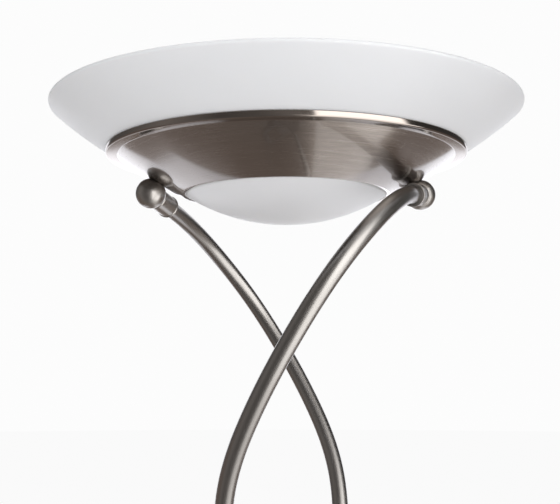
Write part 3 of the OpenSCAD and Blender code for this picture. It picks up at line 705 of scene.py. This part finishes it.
def dome_profile():
    """A cap of a sphere, its flange, and a cap one wall further in."""
    bend = dome_edge**2 / (2 * dome_depth) + dome_depth / 2
    centre = mouth_z - dome_depth + bend
    turn = np.linspace(0, math.asin(dome_edge / bend), 50)
    cap = np.stack([np.sin(turn), -np.cos(turn)], 1)
    out, inner = ([0, centre] + radius * cap for radius in (bend, bend - DOME_WALL))
    flange_r, flange_top = dome_edge + FLANGE, hem_top + DOME_WALL
    flange = rounded([
        (*out[-1], 0), (dome_edge, hem_top, 0.3), (flange_r, hem_top, 0.6), (flange_r, flange_top, 0.8),
        (inner[-1, 0], flange_top, 0.8), (*inner[-3], 0),
    ])
    return np.concatenate([out[:-1], flange, inner[-4::-1]])


dome = turned("dome", dome_profile(), 256, closed=False)
finish_piece(dome, opal_dome, "lamp", "opal_glass", "glass_dome")
print("dome", len(dome.data.polygons), "faces")

# %% [markdown]
# ## Where the balls and tubes stand
# Each ball rests with a small flat on the bowl's side. A threaded stud comes out
# of it, square to the bowl. The tube leaves the ball sideways, through a collar.
# The same drawing gives the line of the tube: a smooth curve, a cubic B-spline,
# pulled towards a few stations that are given by depth, radius and turn.

# %% The ball's place
BALL_R = 13.5 * MM
BALL_SEAT = 11 * MM
STUD_R = 115.5 * MM               # where the stud crosses the bowl


def bowl_point(radius):
    """The height and slope of the bowl's side at a radius, from the circle through its ends."""
    chord = math.hypot(side_r - MOUTH_R, BOWL_DEPTH)
    bend = chord**2 / (8 * BOWL_SAG) + BOWL_SAG / 2
    first = math.atan2(BOWL_DEPTH, side_r - MOUTH_R) - math.asin(chord / 2 / bend)
    centre_r = MOUTH_R - bend * math.sin(first)
    centre_z = mouth_z + bend * math.cos(first)
    slope = math.asin((radius - centre_r) / bend)
    return centre_z - bend * math.cos(slope), slope


stud_z, stud_slope = bowl_point(STUD_R)
stud_point = np.array([STUD_R, 0, stud_z])
stud_way = np.array([-math.sin(stud_slope), 0, math.cos(stud_slope)])
ball_centre = stud_point - BALL_SEAT * stud_way
solid_centre = (low["ball_right"] + high["ball_right"]) / 2
print("ball at", ball_centre.round(4), "against", solid_centre.round(4))

# %% The tube's stations
TUBE_R = 7.5 * MM
TUBE_WALL = 1.5 * MM
TUBE_IN = 6 * MM                  # the tube starts this far from the ball's middle
COLLAR_REACH = 40 * MM
LEAD_TURN, LEAD_DIP = math.radians(109), math.radians(9)
LEAD_PULL = 35 * MM
ARM_SWING, ARM_DROP = 34.5 * MM, 133 * MM
FOOT_R, FOOT_PULL = 42 * MM, 130 * MM
FOOT_Z = 38 * MM
HELIX_TURN = 360
LOW_STEPS = 7
STATIONS = np.array([             # depth in drops, radius in swings, turn in degrees
    [0.18, 0.305, 52], [0.345, 0.725, 66], [0.63, 1, 79.5], [1, 0.855, 91],
    [1.4, 0.32, 103.5], [1.895, -0.405, 122], [2.51, -1.465, 137], [3.28, -2.145, 164],
])
lead = unit(np.array([math.cos(LEAD_TURN), -math.sin(LEAD_TURN), -math.tan(LEAD_DIP)]))
print(len(STATIONS), "stations, and the tube leaves its ball along", lead.round(3))


# %% A smooth curve
def polar(radius, turn, z):
    """Points from radius, turn and height. The turn runs clockwise from +X in degrees, from above."""
    turn = np.radians(turn)
    return np.stack(np.broadcast_arrays(radius * np.cos(turn), -radius * np.sin(turn), z), -1)


def spline(pulls, per_span):
    """Each span blends four pulls with the cubic B-spline weights."""
    t = (np.arange(per_span) / per_span)[:, None, None]
    weights = ((1 - t) ** 3, 3 * t**3 - 6 * t**2 + 4, -3 * t**3 + 3 * t**2 + 3 * t + 1, t**3)
    spans = (pulls[:-3], pulls[1:-2], pulls[2:-1], pulls[3:])
    line = sum(weight * span for weight, span in zip(weights, spans)) / 6
    end = (pulls[-3] + 4 * pulls[-2] + pulls[-1]) / 6
    return np.concatenate([line.transpose(1, 0, 2).reshape(-1, 3), [end]])


print("curves can be drawn")


# %% The tube's line
def arm_line(per_span=16):
    """Out of the collar, down through the stations, and in a closing helix to the foot."""
    collar_end = ball_centre + COLLAR_REACH * lead
    head = np.array([collar_end - LEAD_PULL * lead, collar_end, collar_end + LEAD_PULL * lead])
    high_r = ball_centre[0] + STATIONS[:, 1] * ARM_SWING
    high_z = ball_centre[2] - STATIONS[:, 0] * ARM_DROP
    high_part = polar(high_r, STATIONS[:, 2], high_z)
    share = np.arange(1, LOW_STEPS + 1) / LOW_STEPS
    low_part = polar(
        FOOT_R + (high_r[-1] - FOOT_R) * (1 - share) ** 3,
        STATIONS[-1, 2] + (HELIX_TURN - STATIONS[-1, 2]) * share,
        high_z[-1] + (FOOT_Z + FOOT_PULL - high_z[-1]) * share,
    )
    foot = polar(FOOT_R, HELIX_TURN, FOOT_Z)
    pulls = np.concatenate([head, high_part, low_part, [foot, foot - [0, 0, FOOT_PULL]]])
    return np.concatenate([[ball_centre + TUBE_IN * lead], spline(pulls, per_span)])


right_line = arm_line()
print("each tube is", round(lengths(right_line)[-1], 3), "m long")

# %% [markdown]
# ## The tubes
# A ring of points is carried along the line, square to it. One fixed direction
# keeps the rings from twisting. The tube is hollow, so the rings go down the
# outside and come back up the inside.

# %% Tubes
def swept(name, line, rows, radii, sides, aside, closed=True):
    """Point = line + radius (cos t a + sin t b), where a and b are square to the line's heading.
    rows says which point of the line each ring stands on, and radii how wide it is."""
    heading = unit(np.gradient(line, axis=0))
    a = unit(np.cross(heading, aside))
    b = np.cross(heading, a)
    turn = full_turn(sides)[None, :, None]
    ring = np.cos(turn) * a[rows][:, None] + np.sin(turn) * b[rows][:, None]
    grid = line[rows][:, None] + np.asarray(radii)[:, None, None] * ring
    return grid_piece(name, grid, lengths(line)[rows], close_rows=closed)


count = len(right_line)
there_and_back = np.concatenate([np.arange(count), np.arange(count)[::-1]])
tube_radii = np.repeat([TUBE_R, TUBE_R - TUBE_WALL], count)
ref = (math.sin(LEAD_TURN), math.cos(LEAD_TURN), 0)
tube_right = swept("tube_right", right_line, there_and_back, tube_radii, 48, ref)
finish_pair(tube_right, "tube_left", tube_metal, "satin_metal", "arm_right", "arm_left")
print("tube", len(tube_right.data.polygons), "faces")

# %% [markdown]
# ## Collars and balls
# The collar is a turned sleeve with a bead at each end, and its end is hollowed
# to fit the ball. The ball is a sphere with its seat cut flat. Cutting them to
# shape afterwards would leave ragged faces, so all of it is in their profiles.
# The edges are rounded by a few tenths of a millimetre, as a turner breaks them.

# %% Collars and balls
COLLAR_R = 9.75 * MM
BEAD_R = COLLAR_R + 0.6 * MM
SLIP = 0.15 * MM
STUD_HOLE = 5.15 * MM


def collar_profile():
    """The hollow, the bead by the ball, the sleeve, the bead by the tube, and the bore."""
    bore, seat, end = TUBE_R + SLIP, BALL_R + 0.05 * MM, COLLAR_REACH
    turn = np.linspace(math.asin(bore / seat), math.asin(BEAD_R / seat), 8)
    hollow = np.stack([seat * np.sin(turn), seat * np.cos(turn)], 1)
    sleeve = rounded([
        (*hollow[-1], 0), (BEAD_R, BALL_R - 1.5 * MM, 0.3), (COLLAR_R, BALL_R - 0.9 * MM, 0.25),
        (COLLAR_R, end - 2.1 * MM, 0.25), (BEAD_R, end - 1.5 * MM, 0.3), (BEAD_R, end, 0.45),
        (bore, end, 0.3), (bore, hollow[0, 1], 0),
    ])
    return np.concatenate([hollow[:-1], sleeve[:-1]])


def ball_profile():
    """Down the far side of the sphere to the flat, in to the stud's hole, and up to its floor."""
    edge = math.sqrt(BALL_R**2 - BALL_SEAT**2)
    turn = np.linspace(0, math.pi - math.asin(edge / BALL_R) - 0.02, 60)
    shell = np.stack([BALL_R * np.sin(turn), -BALL_R * np.cos(turn)], 1)
    floor_z = BALL_SEAT - 7 * MM
    inside = rounded([
        (*shell[-1], 0), (edge, BALL_SEAT, 0.3), (STUD_HOLE, BALL_SEAT, 0.3),
        (STUD_HOLE, floor_z, 0.3), (0, floor_z, 0),
    ])
    return np.concatenate([shell, inside[1:]])


collar = turned("collar_sleeve_right", collar_profile(), 96, ball_centre, lead)
finish_pair(collar, "collar_sleeve_left", ball_metal, "satin_metal", "collar_right", "collar_left")
ball = turned("ball_joint_right", ball_profile(), 96, ball_centre, stud_way, closed=False)
finish_pair(ball, "ball_joint_left", ball_metal, "satin_metal", "ball_right", "ball_left")
print("collars and balls made")

# %% [markdown]
# ## The base cover and the sockets
# The base is a weight under a spun cover. The cover's slope bulges a little and
# rounds over into an upright rim. Two turned sockets stand on its flat top and
# hold the ends of the tubes. Holes go through the sheet where bolts, the dimmer
# and the inlet pass. They don't share the cover's axis, so no profile can hold
# them, and a helper subtracts round bars instead.

# %% Holes
def bar(radius, start, end, sides=48):
    """A plain round bar from start to end, to be subtracted."""
    length = np.linalg.norm(end - start)
    profile = np.array([[0, 0], [radius, 0], [radius, length], [0, length]])
    return turned("cutter", profile, sides, start, end - start, closed=False)


def bored(thing, sharp, *cutters):
    """Subtracts each cutter from the piece, keeps its map, and marks edges over `sharp` degrees."""
    for cutter in cutters:
        cut = thing.modifiers.new("bore", "BOOLEAN")
        cut.operation, cut.object, cut.solver = "DIFFERENCE", cutter, "EXACT"
        bpy.context.view_layer.update()
        shape = thing.evaluated_get(bpy.context.evaluated_depsgraph_get())
        mesh = bpy.data.meshes.new_from_object(shape)
        thing.modifiers.clear()
        thing.data = mesh
        bpy.data.objects.remove(cutter)
    thing.data.set_sharp_from_angle(angle=math.radians(sharp))


stud_cuts = [
    bar(STUD_HOLE, (stud_point - 3 * MM * stud_way) * side, (stud_point + 4 * MM * stud_way) * side)
    for side in (np.ones(3), HALF_ROUND)
]
bored(bowl, 50, *stud_cuts)
print("bowl bored,", len(bowl.data.polygons), "faces")

# %% Base cover
BASE_R, BASE_H = high["base_cover"][0], high["base_cover"][2]
COVER_Z = low["base_cover"][2]
COVER_WALL = 1.2 * MM
TOP_R = 72 * MM
SHOULDER_R = 4 * MM
SHOULDER_Z = 15.5 * MM
COVER_SAG = 2.5 * MM
BOLT_HOLE, DIMMER_HOLE, INLET_HOLE = 4.15 * MM, 5.15 * MM, 5.15 * MM
X, Y, Z = np.eye(3)
FOOT_C = FOOT_R * X + BASE_H * Z  # where a tube's foot, the knob and the inlet are
KNOB_C = -46 * MM * Y + BASE_H * Z
INLET_C = BASE_R * Y + 9.5 * MM * Z


def cover_profile():
    """Out along the flat top, down the slope and the rim, and back inside it."""
    shoulder = (BASE_R - SHOULDER_R, SHOULDER_Z + SHOULDER_R)
    slope = arc(shoulder, (TOP_R, BASE_H), COVER_SAG, 40)[::-1]
    turn = np.linspace(0, math.pi / 2, 12)[1:]
    bend = np.array(shoulder) + SHOULDER_R * np.stack([np.sin(turn), np.cos(turn) - 1], 1)
    soft = rounded([(0, BASE_H, 0), (TOP_R, BASE_H, 9), (*slope[8], 0)], 10)
    line = np.concatenate([soft[:-1], slope[8:], bend, [[BASE_R, COVER_Z + 3 * MM], [BASE_R, COVER_Z]]])
    inner = line - COVER_WALL * headings(line)[1]
    inner[0, 0] = 0
    return np.concatenate([line, inner[::-1]])


cover = turned("cover", cover_profile(), 256, closed=False)
top_holes = [(BOLT_HOLE, FOOT_C), (BOLT_HOLE, FOOT_C * HALF_ROUND), (DIMMER_HOLE, KNOB_C)]
cover_cuts = [bar(radius, at - 3 * MM * Z, at + 3 * MM * Z) for radius, at in top_holes]
bored(cover, 50, *cover_cuts, bar(INLET_HOLE, INLET_C - 4 * MM * Y, INLET_C + 3 * MM * Y))
finish_piece(cover, base_metal, "lamp", "satin_metal", "base_cover")
print("cover", round(2 * BASE_R, 3), "m wide")

# %% Sockets
SOCKET_R, SOCKET_H = 12 * MM, 28 * MM


def socket_profile():
    """From the bolt's hole out under the flange, up the outside, and down the bore to its floor."""
    bore, flange_r = TUBE_R + SLIP, SOCKET_R + 2 * MM
    floor_z = FOOT_Z - BASE_H - SLIP
    return rounded([
        (BOLT_HOLE, floor_z / 2, 0), (BOLT_HOLE, 0, 0.3), (flange_r, 0, 0.4), (flange_r, 3 * MM, 0.8),
        (SOCKET_R, 5 * MM, 1.2), (SOCKET_R, SOCKET_H - 1.5 * MM, 0.8),
        (SOCKET_R - 1.5 * MM, SOCKET_H, 0.7), (bore, SOCKET_H, 0.3), (bore, floor_z, 0.3),
        (BOLT_HOLE, floor_z, 0.3), (BOLT_HOLE, floor_z * 0.6, 0),
    ], 7)


socket = turned("socket_right_turned", socket_profile(), 128, FOOT_C, Z)
finish_pair(socket, "socket_left_turned", ball_metal, "satin_metal", "socket_right", "socket_left")
print("two sockets")

# %% [markdown]
# ## The dimmer knob
# A fluted knob gives the fingers a grip. The flutes are hollows of a round
# cutter, so the radius is the nearer of the knob's own and the cutter's edge.
# The grid has its columns bunched evenly over each flute. A pointer line is cut
# into the top afterwards.

# %% Knob
KNOB_R, KNOB_H = 13 * MM, 15 * MM
FLUTES, FLUTE_R, FLUTE_OUT, FLUTE_Z = 20, 1.2 * MM, 0.6 * MM, 2 * MM
RECESS_R, RECESS_H = 9.08 * MM, 5.5 * MM
SHAFT_R, SHAFT_H = 3.15 * MM, 11.15 * MM
knob_foot = KNOB_C + 1 * MM * Z


def knob_outline():
    """The shaft's hole, the recess over the nut, the foot, the side and the top."""
    return rounded([
        (0, SHAFT_H, 0), (SHAFT_R, SHAFT_H, 0.2), (SHAFT_R, RECESS_H, 0.2), (RECESS_R, RECESS_H, 0.3),
        (RECESS_R, 0, 0.3), (KNOB_R, 0, 0.4), (KNOB_R, FLUTE_Z, 0), (KNOB_R, FLUTE_Z + 0.05 * MM, 0),
        (KNOB_R, FLUTE_Z + 0.5 * MM, 0), (KNOB_R, KNOB_H, 2.2), (KNOB_R - 4 * MM, KNOB_H, 0),
        (0, KNOB_H, 0),
    ], 10)


def knob_grid(outline, columns=480):
    """Each row is a circle. Above the plain rim it is cut back to the flutes' edges, which are
    (R + out) cos d - sqrt(f^2 - ((R + out) sin d)^2) at an angle d from a flute's middle."""
    own_r, z = outline[:, :1], outline[:, 1:]
    turn, half_step = full_turn(columns), math.pi / FLUTES
    off = (turn + half_step) % (2 * half_step) - half_step
    reach = KNOB_R + FLUTE_OUT
    inside = FLUTE_R**2 - (reach * np.sin(off)) ** 2
    edge = np.where(inside > 0, reach * np.cos(off) - np.sqrt(np.maximum(inside, 0)), KNOB_R)
    fluted = (z > FLUTE_Z + 0.01 * MM) & (own_r > KNOB_R - 3 * MM)
    radius = np.where(fluted, np.minimum(own_r, edge), own_r)
    x, y = radius * np.cos(turn + half_step), radius * np.sin(turn + half_step)
    return np.stack([x, y, z + 0 * x], -1) + knob_foot


knob = grid_piece("knob_fluted", knob_grid(knob_outline()), lengths(knob_outline()))
knob_top = knob_foot + (KNOB_H + 0.1 * MM) * Z
bored(knob, 38, bar(0.6 * MM, knob_top - 3 * MM * Y, knob_top - 11.5 * MM * Y, 24))
finish_piece(knob, ball_metal, "knob", "satin_metal", "dimmer_knob")
print("knob", len(knob.data.polygons), "faces")

# %% [markdown]
# ## Solids that keep their shape
# Bolts, nuts, washers, holders and other small pieces already have the right
# shape as solids. Real ones have no knife edges, so each is copied, its flat
# triangles are joined into whole faces, and its edges get a small bevel.

# %% Copies with broken edges
def eased(node, name, material, body, slot, width, steps=2):
    """A copy of a solid: doubles merged, flats joined, and edges over 25 degrees bevelled."""
    thing = in_scene(name, nodes[node].data.copy())
    thing.data.name = name
    work = bmesh.new()
    work.from_mesh(thing.data)
    bmesh.ops.remove_doubles(work, verts=work.verts, dist=2e-6)
    bmesh.ops.dissolve_limit(work, angle_limit=math.radians(0.6), verts=work.verts, edges=work.edges)
    bmesh.ops.recalc_face_normals(work, faces=work.faces)
    work.to_mesh(thing.data)
    work.free()
    thing.data.materials.clear()
    thing.data.shade_smooth()
    thing.data.set_sharp_from_angle(angle=math.radians(40))
    bevel = thing.modifiers.new("eased", "BEVEL")
    bevel.width, bevel.segments = width, steps
    bevel.limit_method, bevel.angle_limit = "ANGLE", math.radians(25)
    bevel.harden_normals = True
    finish_piece(thing, material, body, slot, node)


print("solids can be eased")

# %% [markdown]
# ## Finishes of the small pieces
# These patterns are read in object coordinates, because the copies have no map.
# Zinc plate has a faint spangle, cast iron a sand-cast skin, felt its matted
# fibres, fired ceramic a soft glaze, and black plastic a fine spark texture.

# %% Small finishes
def plain(name, colour, scale, shift, rough, depth, metallic=0.0, **extra):
    """Noise in object coordinates varies the colour, the gloss and the height together."""
    made, net = with_nodes(bpy.data.materials.new(name))
    place = net.place()
    fine = net.noise(place, scale, 4.0)
    broad = net.noise(place, scale * 0.07)
    grain = net.math("ADD", net.times(fine, 0.6), net.times(broad, 0.4))
    net.skin({
        **net.grained(grain, colour, shift, rough, 0.15), "Metallic": metallic,
        "Normal": net.bump(fine, depth), **extra,
    })
    return made


FUZZ = {"Sheen Weight": 0.6, "Sheen Roughness": 0.5}
zinc = plain("zinc_steel", (0.62, 0.62, 0.63), 900, 0.08, 0.3, 0.000006, 1.0)
brass = plain("brass", (0.78, 0.58, 0.27), 1200, 0.07, 0.28, 0.000004, 1.0)
iron = plain("cast_iron", (0.045, 0.045, 0.048), 700, 0.25, 0.62, 0.00012)
felt = plain("felt", (0.03, 0.031, 0.034), 2500, 0.45, 0.95, 0.00025, **FUZZ)
ceramic = plain("ceramic", (0.86, 0.84, 0.79), 500, 0.03, 0.35, 0.00001)
plastic = plain("black_plastic", (0.018, 0.018, 0.02), 1600, 0.15, 0.5, 0.00002)
silicone = plain("silicone", (0.78, 0.79, 0.78), 600, 0.03, 0.5, 0.00001)
tungsten = plain("tungsten", (0.36, 0.35, 0.34), 2500, 0.1, 0.4, 0.000003, 1.0)
print("eight small finishes")

# %% Eased solids
EASED = [
    ("base_weight", "weight_cast", iron, "lamp", "cast_iron", 0.8),
    ("base_pad", "pad_felt", felt, "lamp", "felt", 0.6),
    ("socket_bolts", "bolts_hollow", zinc, "lamp", "zinc_steel", 0.25),
    ("socket_washers", "washers_socket", zinc, "lamp", "zinc_steel", 0.15),
    ("dimmer_body", "dimmer_case", plastic, "lamp", "black_plastic", 0.4),
    ("dimmer_nut", "nut_dimmer", zinc, "lamp", "zinc_steel", 0.25),
    ("dimmer_spindle", "spindle", zinc, "knob", "zinc_steel", 0.25),
    ("stud_washers", "washers_stud", zinc, "lamp", "zinc_steel", 0.15),
    ("stud_nuts", "nuts_stud", zinc, "lamp", "zinc_steel", 0.3),
    ("crossbar", "crossbar_bent", zinc, "lamp", "zinc_steel", 0.3),
    ("lampholder_right", "holder_ceramic_right", ceramic, "lamp", "ceramic", 0.5),
    ("lampholder_left", "holder_ceramic_left", ceramic, "lamp", "ceramic", 0.5),
    ("holder_screws", "screws_holder", zinc, "lamp", "zinc_steel", 0.2),
    ("lamp_contacts", "contacts_sprung", brass, "lamp", "brass", 0.15),
    ("terminal_block", "block_ceramic", ceramic, "lamp", "ceramic", 0.4),
    ("earth_screw", "screw_earth", brass, "lamp", "brass", 0.2),
]
for *facts, width in EASED:
    eased(*facts, width * MM)
print(len(EASED), "solids eased")

# %% [markdown]
# ## Studs
# A hollow stud fixes each ball to the bowl and lets the leads through. Its
# thread is one ridge that climbs round it, so the radius depends on the height
# less the turn. That gives a true helix with no extra step.

# %% Studs
STUD_RADIUS, STUD_BORE = 5 * MM, 3.25 * MM
THREAD_STEP, THREAD_DEPTH = 1.0 * MM, 0.55 * MM
STUD_LOW, STUD_HIGH = -7 * MM, 16.2 * MM  # counted from the bowl


def stud_grid(rows_per_step=10, columns=48):
    """radius = R - depth |2 frac(height / step - turn) - 1|, and a chamfer at the free end."""
    z = np.arange(STUD_LOW, STUD_HIGH + 1e-9, THREAD_STEP / rows_per_step)[:, None]
    turn = np.arange(columns) / columns
    tooth = np.abs(2 * ((z / THREAD_STEP - turn) % 1) - 1)
    radius = STUD_RADIUS - THREAD_DEPTH * np.clip(tooth * 1.25 - 0.1, 0, 1)
    radius = np.minimum(radius, STUD_RADIUS - 0.8 * MM + np.maximum(STUD_HIGH - z, 0))
    ease = 0.4 * MM * np.array([[1], [0], [0], [1]])
    inside = np.array([[STUD_HIGH], [STUD_HIGH - 0.4 * MM], [STUD_LOW + 0.4 * MM], [STUD_LOW]])
    radius = np.concatenate([radius, STUD_BORE + ease + 0 * turn])
    height = np.concatenate([z, inside]) + 0 * turn
    angle = 2 * math.pi * turn
    grid = np.stack([radius * np.cos(angle), radius * np.sin(angle), height], -1)
    return placed(grid, stud_point, stud_way)


stud_points = stud_grid()
stud = grid_piece("threaded_stud_right", stud_points, np.arange(len(stud_points)), close_rows=True)
finish_pair(stud, "threaded_stud_left", zinc, "zinc_steel", "stud_right", "stud_left")
print("studs threaded")

# %% [markdown]
# ## The lamp
# A halogen lamp is a quartz tube that necks down at its ends. Inside it a coiled
# tungsten wire runs the whole length, and ceramic caps close the ends. The
# hollow is a second turned surface that faces inwards, because clear glass bends
# light at both its skins. The coil is a helix, swept as a thin round wire.

# %% Quartz
quartz, net = with_nodes(bpy.data.materials.new("quartz"))
net.skin({
    "Base Color": rgb(0.98, 0.985, 0.99), "IOR": 1.46, "Transmission Weight": 1.0,
    "Roughness": net.range(net.noise(net.place(), 60.0), 0.3, 0.7, 0.01, 0.04),
})

lamp_low, lamp_high = low["halogen_lamp"], high["halogen_lamp"]
LAMP_R, QUARTZ_WALL = (lamp_high[2] - lamp_low[2]) / 2, 1 * MM
TUBE_L = lamp_high[0] - lamp_low[0]
STEM, NECK = 3 * MM, 7 * MM
lamp_axis_z = (lamp_low[2] + lamp_high[2]) / 2
tube_start = np.array([lamp_low[0], 0, lamp_axis_z])
print("quartz", round(TUBE_L, 3), "m long and", round(2 * LAMP_R, 4), "m thick")


# %% Quartz tube and ceramic caps
def quartz_profile():
    """Radius against length: a round tube whose ends neck down to a stem."""
    return rounded([
        (0, 0, 0), (STEM, 0, 0.6), (STEM, NECK * 0.4, 2), (LAMP_R, NECK, 3), (LAMP_R, TUBE_L - NECK, 3),
        (STEM, TUBE_L - NECK * 0.4, 2), (STEM, TUBE_L, 0.6), (0, TUBE_L, 0),
    ], 10)


def hollow_profile():
    """The space inside, pointed at both ends."""
    start, r = NECK + 0.5 * MM, LAMP_R - QUARTZ_WALL
    full = start + 2 * MM
    return rounded([(0, start, 0), (r, full, 3), (r, TUBE_L - full, 3), (0, TUBE_L - start, 0)], 10)


def cap_profile():
    """A ceramic end with a small metal pin's seat, from the tube outwards."""
    cap_r, length, pin = 4 * MM, 12 * MM, 1.5 * MM
    return rounded([
        (0, 0, 0), (cap_r, 0, 0.5), (cap_r, length - 2 * MM, 0.8), (pin, length - 2 * MM, 0.2),
        (pin, length, 0.4), (0, length, 0),
    ], 7)


quartz_tube = turned("quartz_tube", quartz_profile(), 64, tube_start, X, closed=False)
hollow = turned("hollow", hollow_profile(), 64, tube_start, X, closed=False)
work = bmesh.new()
work.from_mesh(quartz_tube.data)
first = len(work.faces)
work.from_mesh(hollow.data)
work.faces.ensure_lookup_table()
bmesh.ops.reverse_faces(work, faces=work.faces[first:])
work.to_mesh(quartz_tube.data)
work.free()
bpy.data.objects.remove(hollow)
finish_piece(quartz_tube, quartz, "lamp", "clear_glass", "halogen_lamp")
cap = turned("cap_right", cap_profile(), 64, tube_start + TUBE_L * X, X, closed=False)
finish_pair(cap, "cap_left", ceramic, "ceramic", "lamp_caps")
print("lamp", len(quartz_tube.data.polygons), "faces")

# %% Filament
COIL_TURNS, COIL_R, WIRE_R = 84, 0.7 * MM, 0.14 * MM
COIL_IN, WIRE_IN = 12 * MM, 3 * MM  # how far in from the quartz's ends they start


def filament_line(per_turn=14):
    """A helix between two straight ends: (x, r cos t, r sin t). It swells from nothing at both ends."""
    t = np.linspace(0, 1, COIL_TURNS * per_turn + 1)
    radius = COIL_R * np.clip(np.minimum(t, 1 - t) * 60, 0, 1)
    angle = 2 * math.pi * COIL_TURNS * t
    x = COIL_IN + (TUBE_L - 2 * COIL_IN) * t
    coil = tube_start + np.stack([x, radius * np.cos(angle), radius * np.sin(angle)], 1)
    straight = (COIL_IN - WIRE_IN) * X
    return np.concatenate([[coil[0] - straight], coil, [coil[-1] + straight]])


def wire(name, line, rows, radius, sides, aside):
    """A full round wire: its first and last rings have shrunk to a point."""
    radii = np.full(len(rows), radius)
    radii[[0, -1]] = 0
    return swept(name, line, rows, radii, sides, aside, closed=False)


coil_line = filament_line()
filament = wire("filament", coil_line, np.arange(len(coil_line)), WIRE_R, 6, (0.0, 0.02, 1.0))
finish_piece(filament, tungsten, "lamp", "zinc_steel")
print("filament", len(filament.data.polygons), "faces")

# %% [markdown]
# ## Leads, gasket and inlet
# The leads in the head have a braided heat-proof sleeve. Single threads would
# take many thousands of faces, so the braid is two sets of slanting waves on the
# lead's own map. The leads follow a few listed points, from the stud to
# the terminal block and on to the two holders.

# %% Braided sleeve
sleeve, net = with_nodes(bpy.data.materials.new("lead_sleeve"))
u, v = net.own_map()
along, around = net.times(u, 2 * math.pi * 700), net.times(v, 2 * math.pi * 6)
waves = [net.math("SINE", net.math(way, along, around)) for way in ("ADD", "SUBTRACT")]
braid = net.math("MAXIMUM", *waves)
net.skin({
    "Base Color": net.mix(net.range(braid, -0.2, 0.9), rgb(0.55, 0.53, 0.48), rgb(0.82, 0.80, 0.74)),
    "Roughness": 0.75, "Normal": net.bump(braid, 0.00012, 0.8),
})
print("braid made")

# %% Leads
LEAD_R = 1.5 * MM


def lead_piece(name, pulls, aside):
    """A wire through these pulls, given in millimetres. Its ends stand twice, so they are flat."""
    line = spline(np.array(pulls) * MM, 10)
    last = len(line) - 1
    return wire(name, line, np.array([0, *range(last + 1), last]), LEAD_R, 20, aside)


def lead_points():
    """The listed points of the two leads, in millimetres, from the head's own sizes."""
    out = (stud_point + STUD_HIGH * stud_way) / MM
    block_low, block_high = low["terminal_block"] / MM, high["terminal_block"] / MM
    way, mid_z = (block_high[0] - block_low[0]) / 3, (block_low[2] + block_high[2]) / 2
    face, beside, holder_x, holder_end, hole_x = block_high[1], 17, 52, 70, 42
    bar_z = low["crossbar"][2] / MM
    bar_top = bar_z + 2
    supply = [
        out - 12 * stud_way, out - 2 * stud_way, out + 9 * stud_way, out + [-16, 8, 10],
        (holder_end + 12, beside, bar_z + 16), (holder_end - 4, beside + 2, bar_z - 1),
        (holder_x - 6, beside, mid_z - 3), (way + 13, face + 10, mid_z - 2), (way + 3, face + 9, mid_z),
        (way, face + 5, mid_z), (way, face, mid_z), (way, face - 4, mid_z), (way, face - 10, mid_z),
    ]
    onward = [
        (way, 3 - face, mid_z), (way, -face, mid_z), (way, -face - 3, mid_z),
        (way + 1, -face - 7, mid_z), (way + 12, -face - 7, mid_z - 2), (hole_x - 5, -8, mid_z - 1),
        (hole_x, 0, bar_z - 1), (hole_x + 1, 0, bar_z + 5), (holder_x - 4, 0, bar_top + 3),
        (holder_x + 2, 0, bar_top + 2.5), (holder_x + 7, 0, bar_top + 2.5),
    ]
    return supply, onward


supply_points, onward_points = lead_points()
supply = lead_piece("lead_supply", supply_points, (0.3, 1, 0.1))
finish_piece(supply, sleeve, "lamp", "lead_sleeve", "head_leads")
finish_pair(lead_piece("lead_right", onward_points, (1, 0.4, 0.2)), "lead_left", sleeve, "lead_sleeve")
print("three leads")

# %% Gasket and inlet bush
gasket_in, gasket_out = side_r + 1 * MM, high["dish_gasket"][0]
gasket_low, gasket_top = low["dish_gasket"][2], high["dish_gasket"][2]
gasket_line = rounded([
    (gasket_in + 2 * MM, gasket_low, 0), (gasket_out, gasket_low, 0.7), (gasket_out, gasket_top, 0.7),
    (gasket_in, gasket_top, 0.7), (gasket_in, gasket_low, 0.7), (gasket_in + 1.9 * MM, gasket_low, 0),
])
gasket = turned("gasket", gasket_line, 256)
finish_piece(gasket, silicone, "lamp", "silicone", "dish_gasket")

INLET_R, INLET_BODY, INLET_FLANGE = 3.5 * MM, 5 * MM, 6.5 * MM
INLET_IN, INLET_OUT = -5.2 * MM, 2.5 * MM  # counted from the rim, outwards
inlet_line = rounded([
    (INLET_R, -2 * MM, 0), (INLET_R, INLET_IN, 0.5), (INLET_BODY, INLET_IN, 0.4),
    (INLET_BODY, 0, 0.1), (INLET_FLANGE, 0, 0.2), (INLET_FLANGE, INLET_OUT, 0.9),
    (INLET_R, INLET_OUT, 0.9), (INLET_R, -1.9 * MM, 0),
], 8)
inlet = turned("inlet_ring", inlet_line, 96, INLET_C, Y)
finish_piece(inlet, plastic, "lamp", "black_plastic", "inlet_bush")
print("gasket and inlet made")
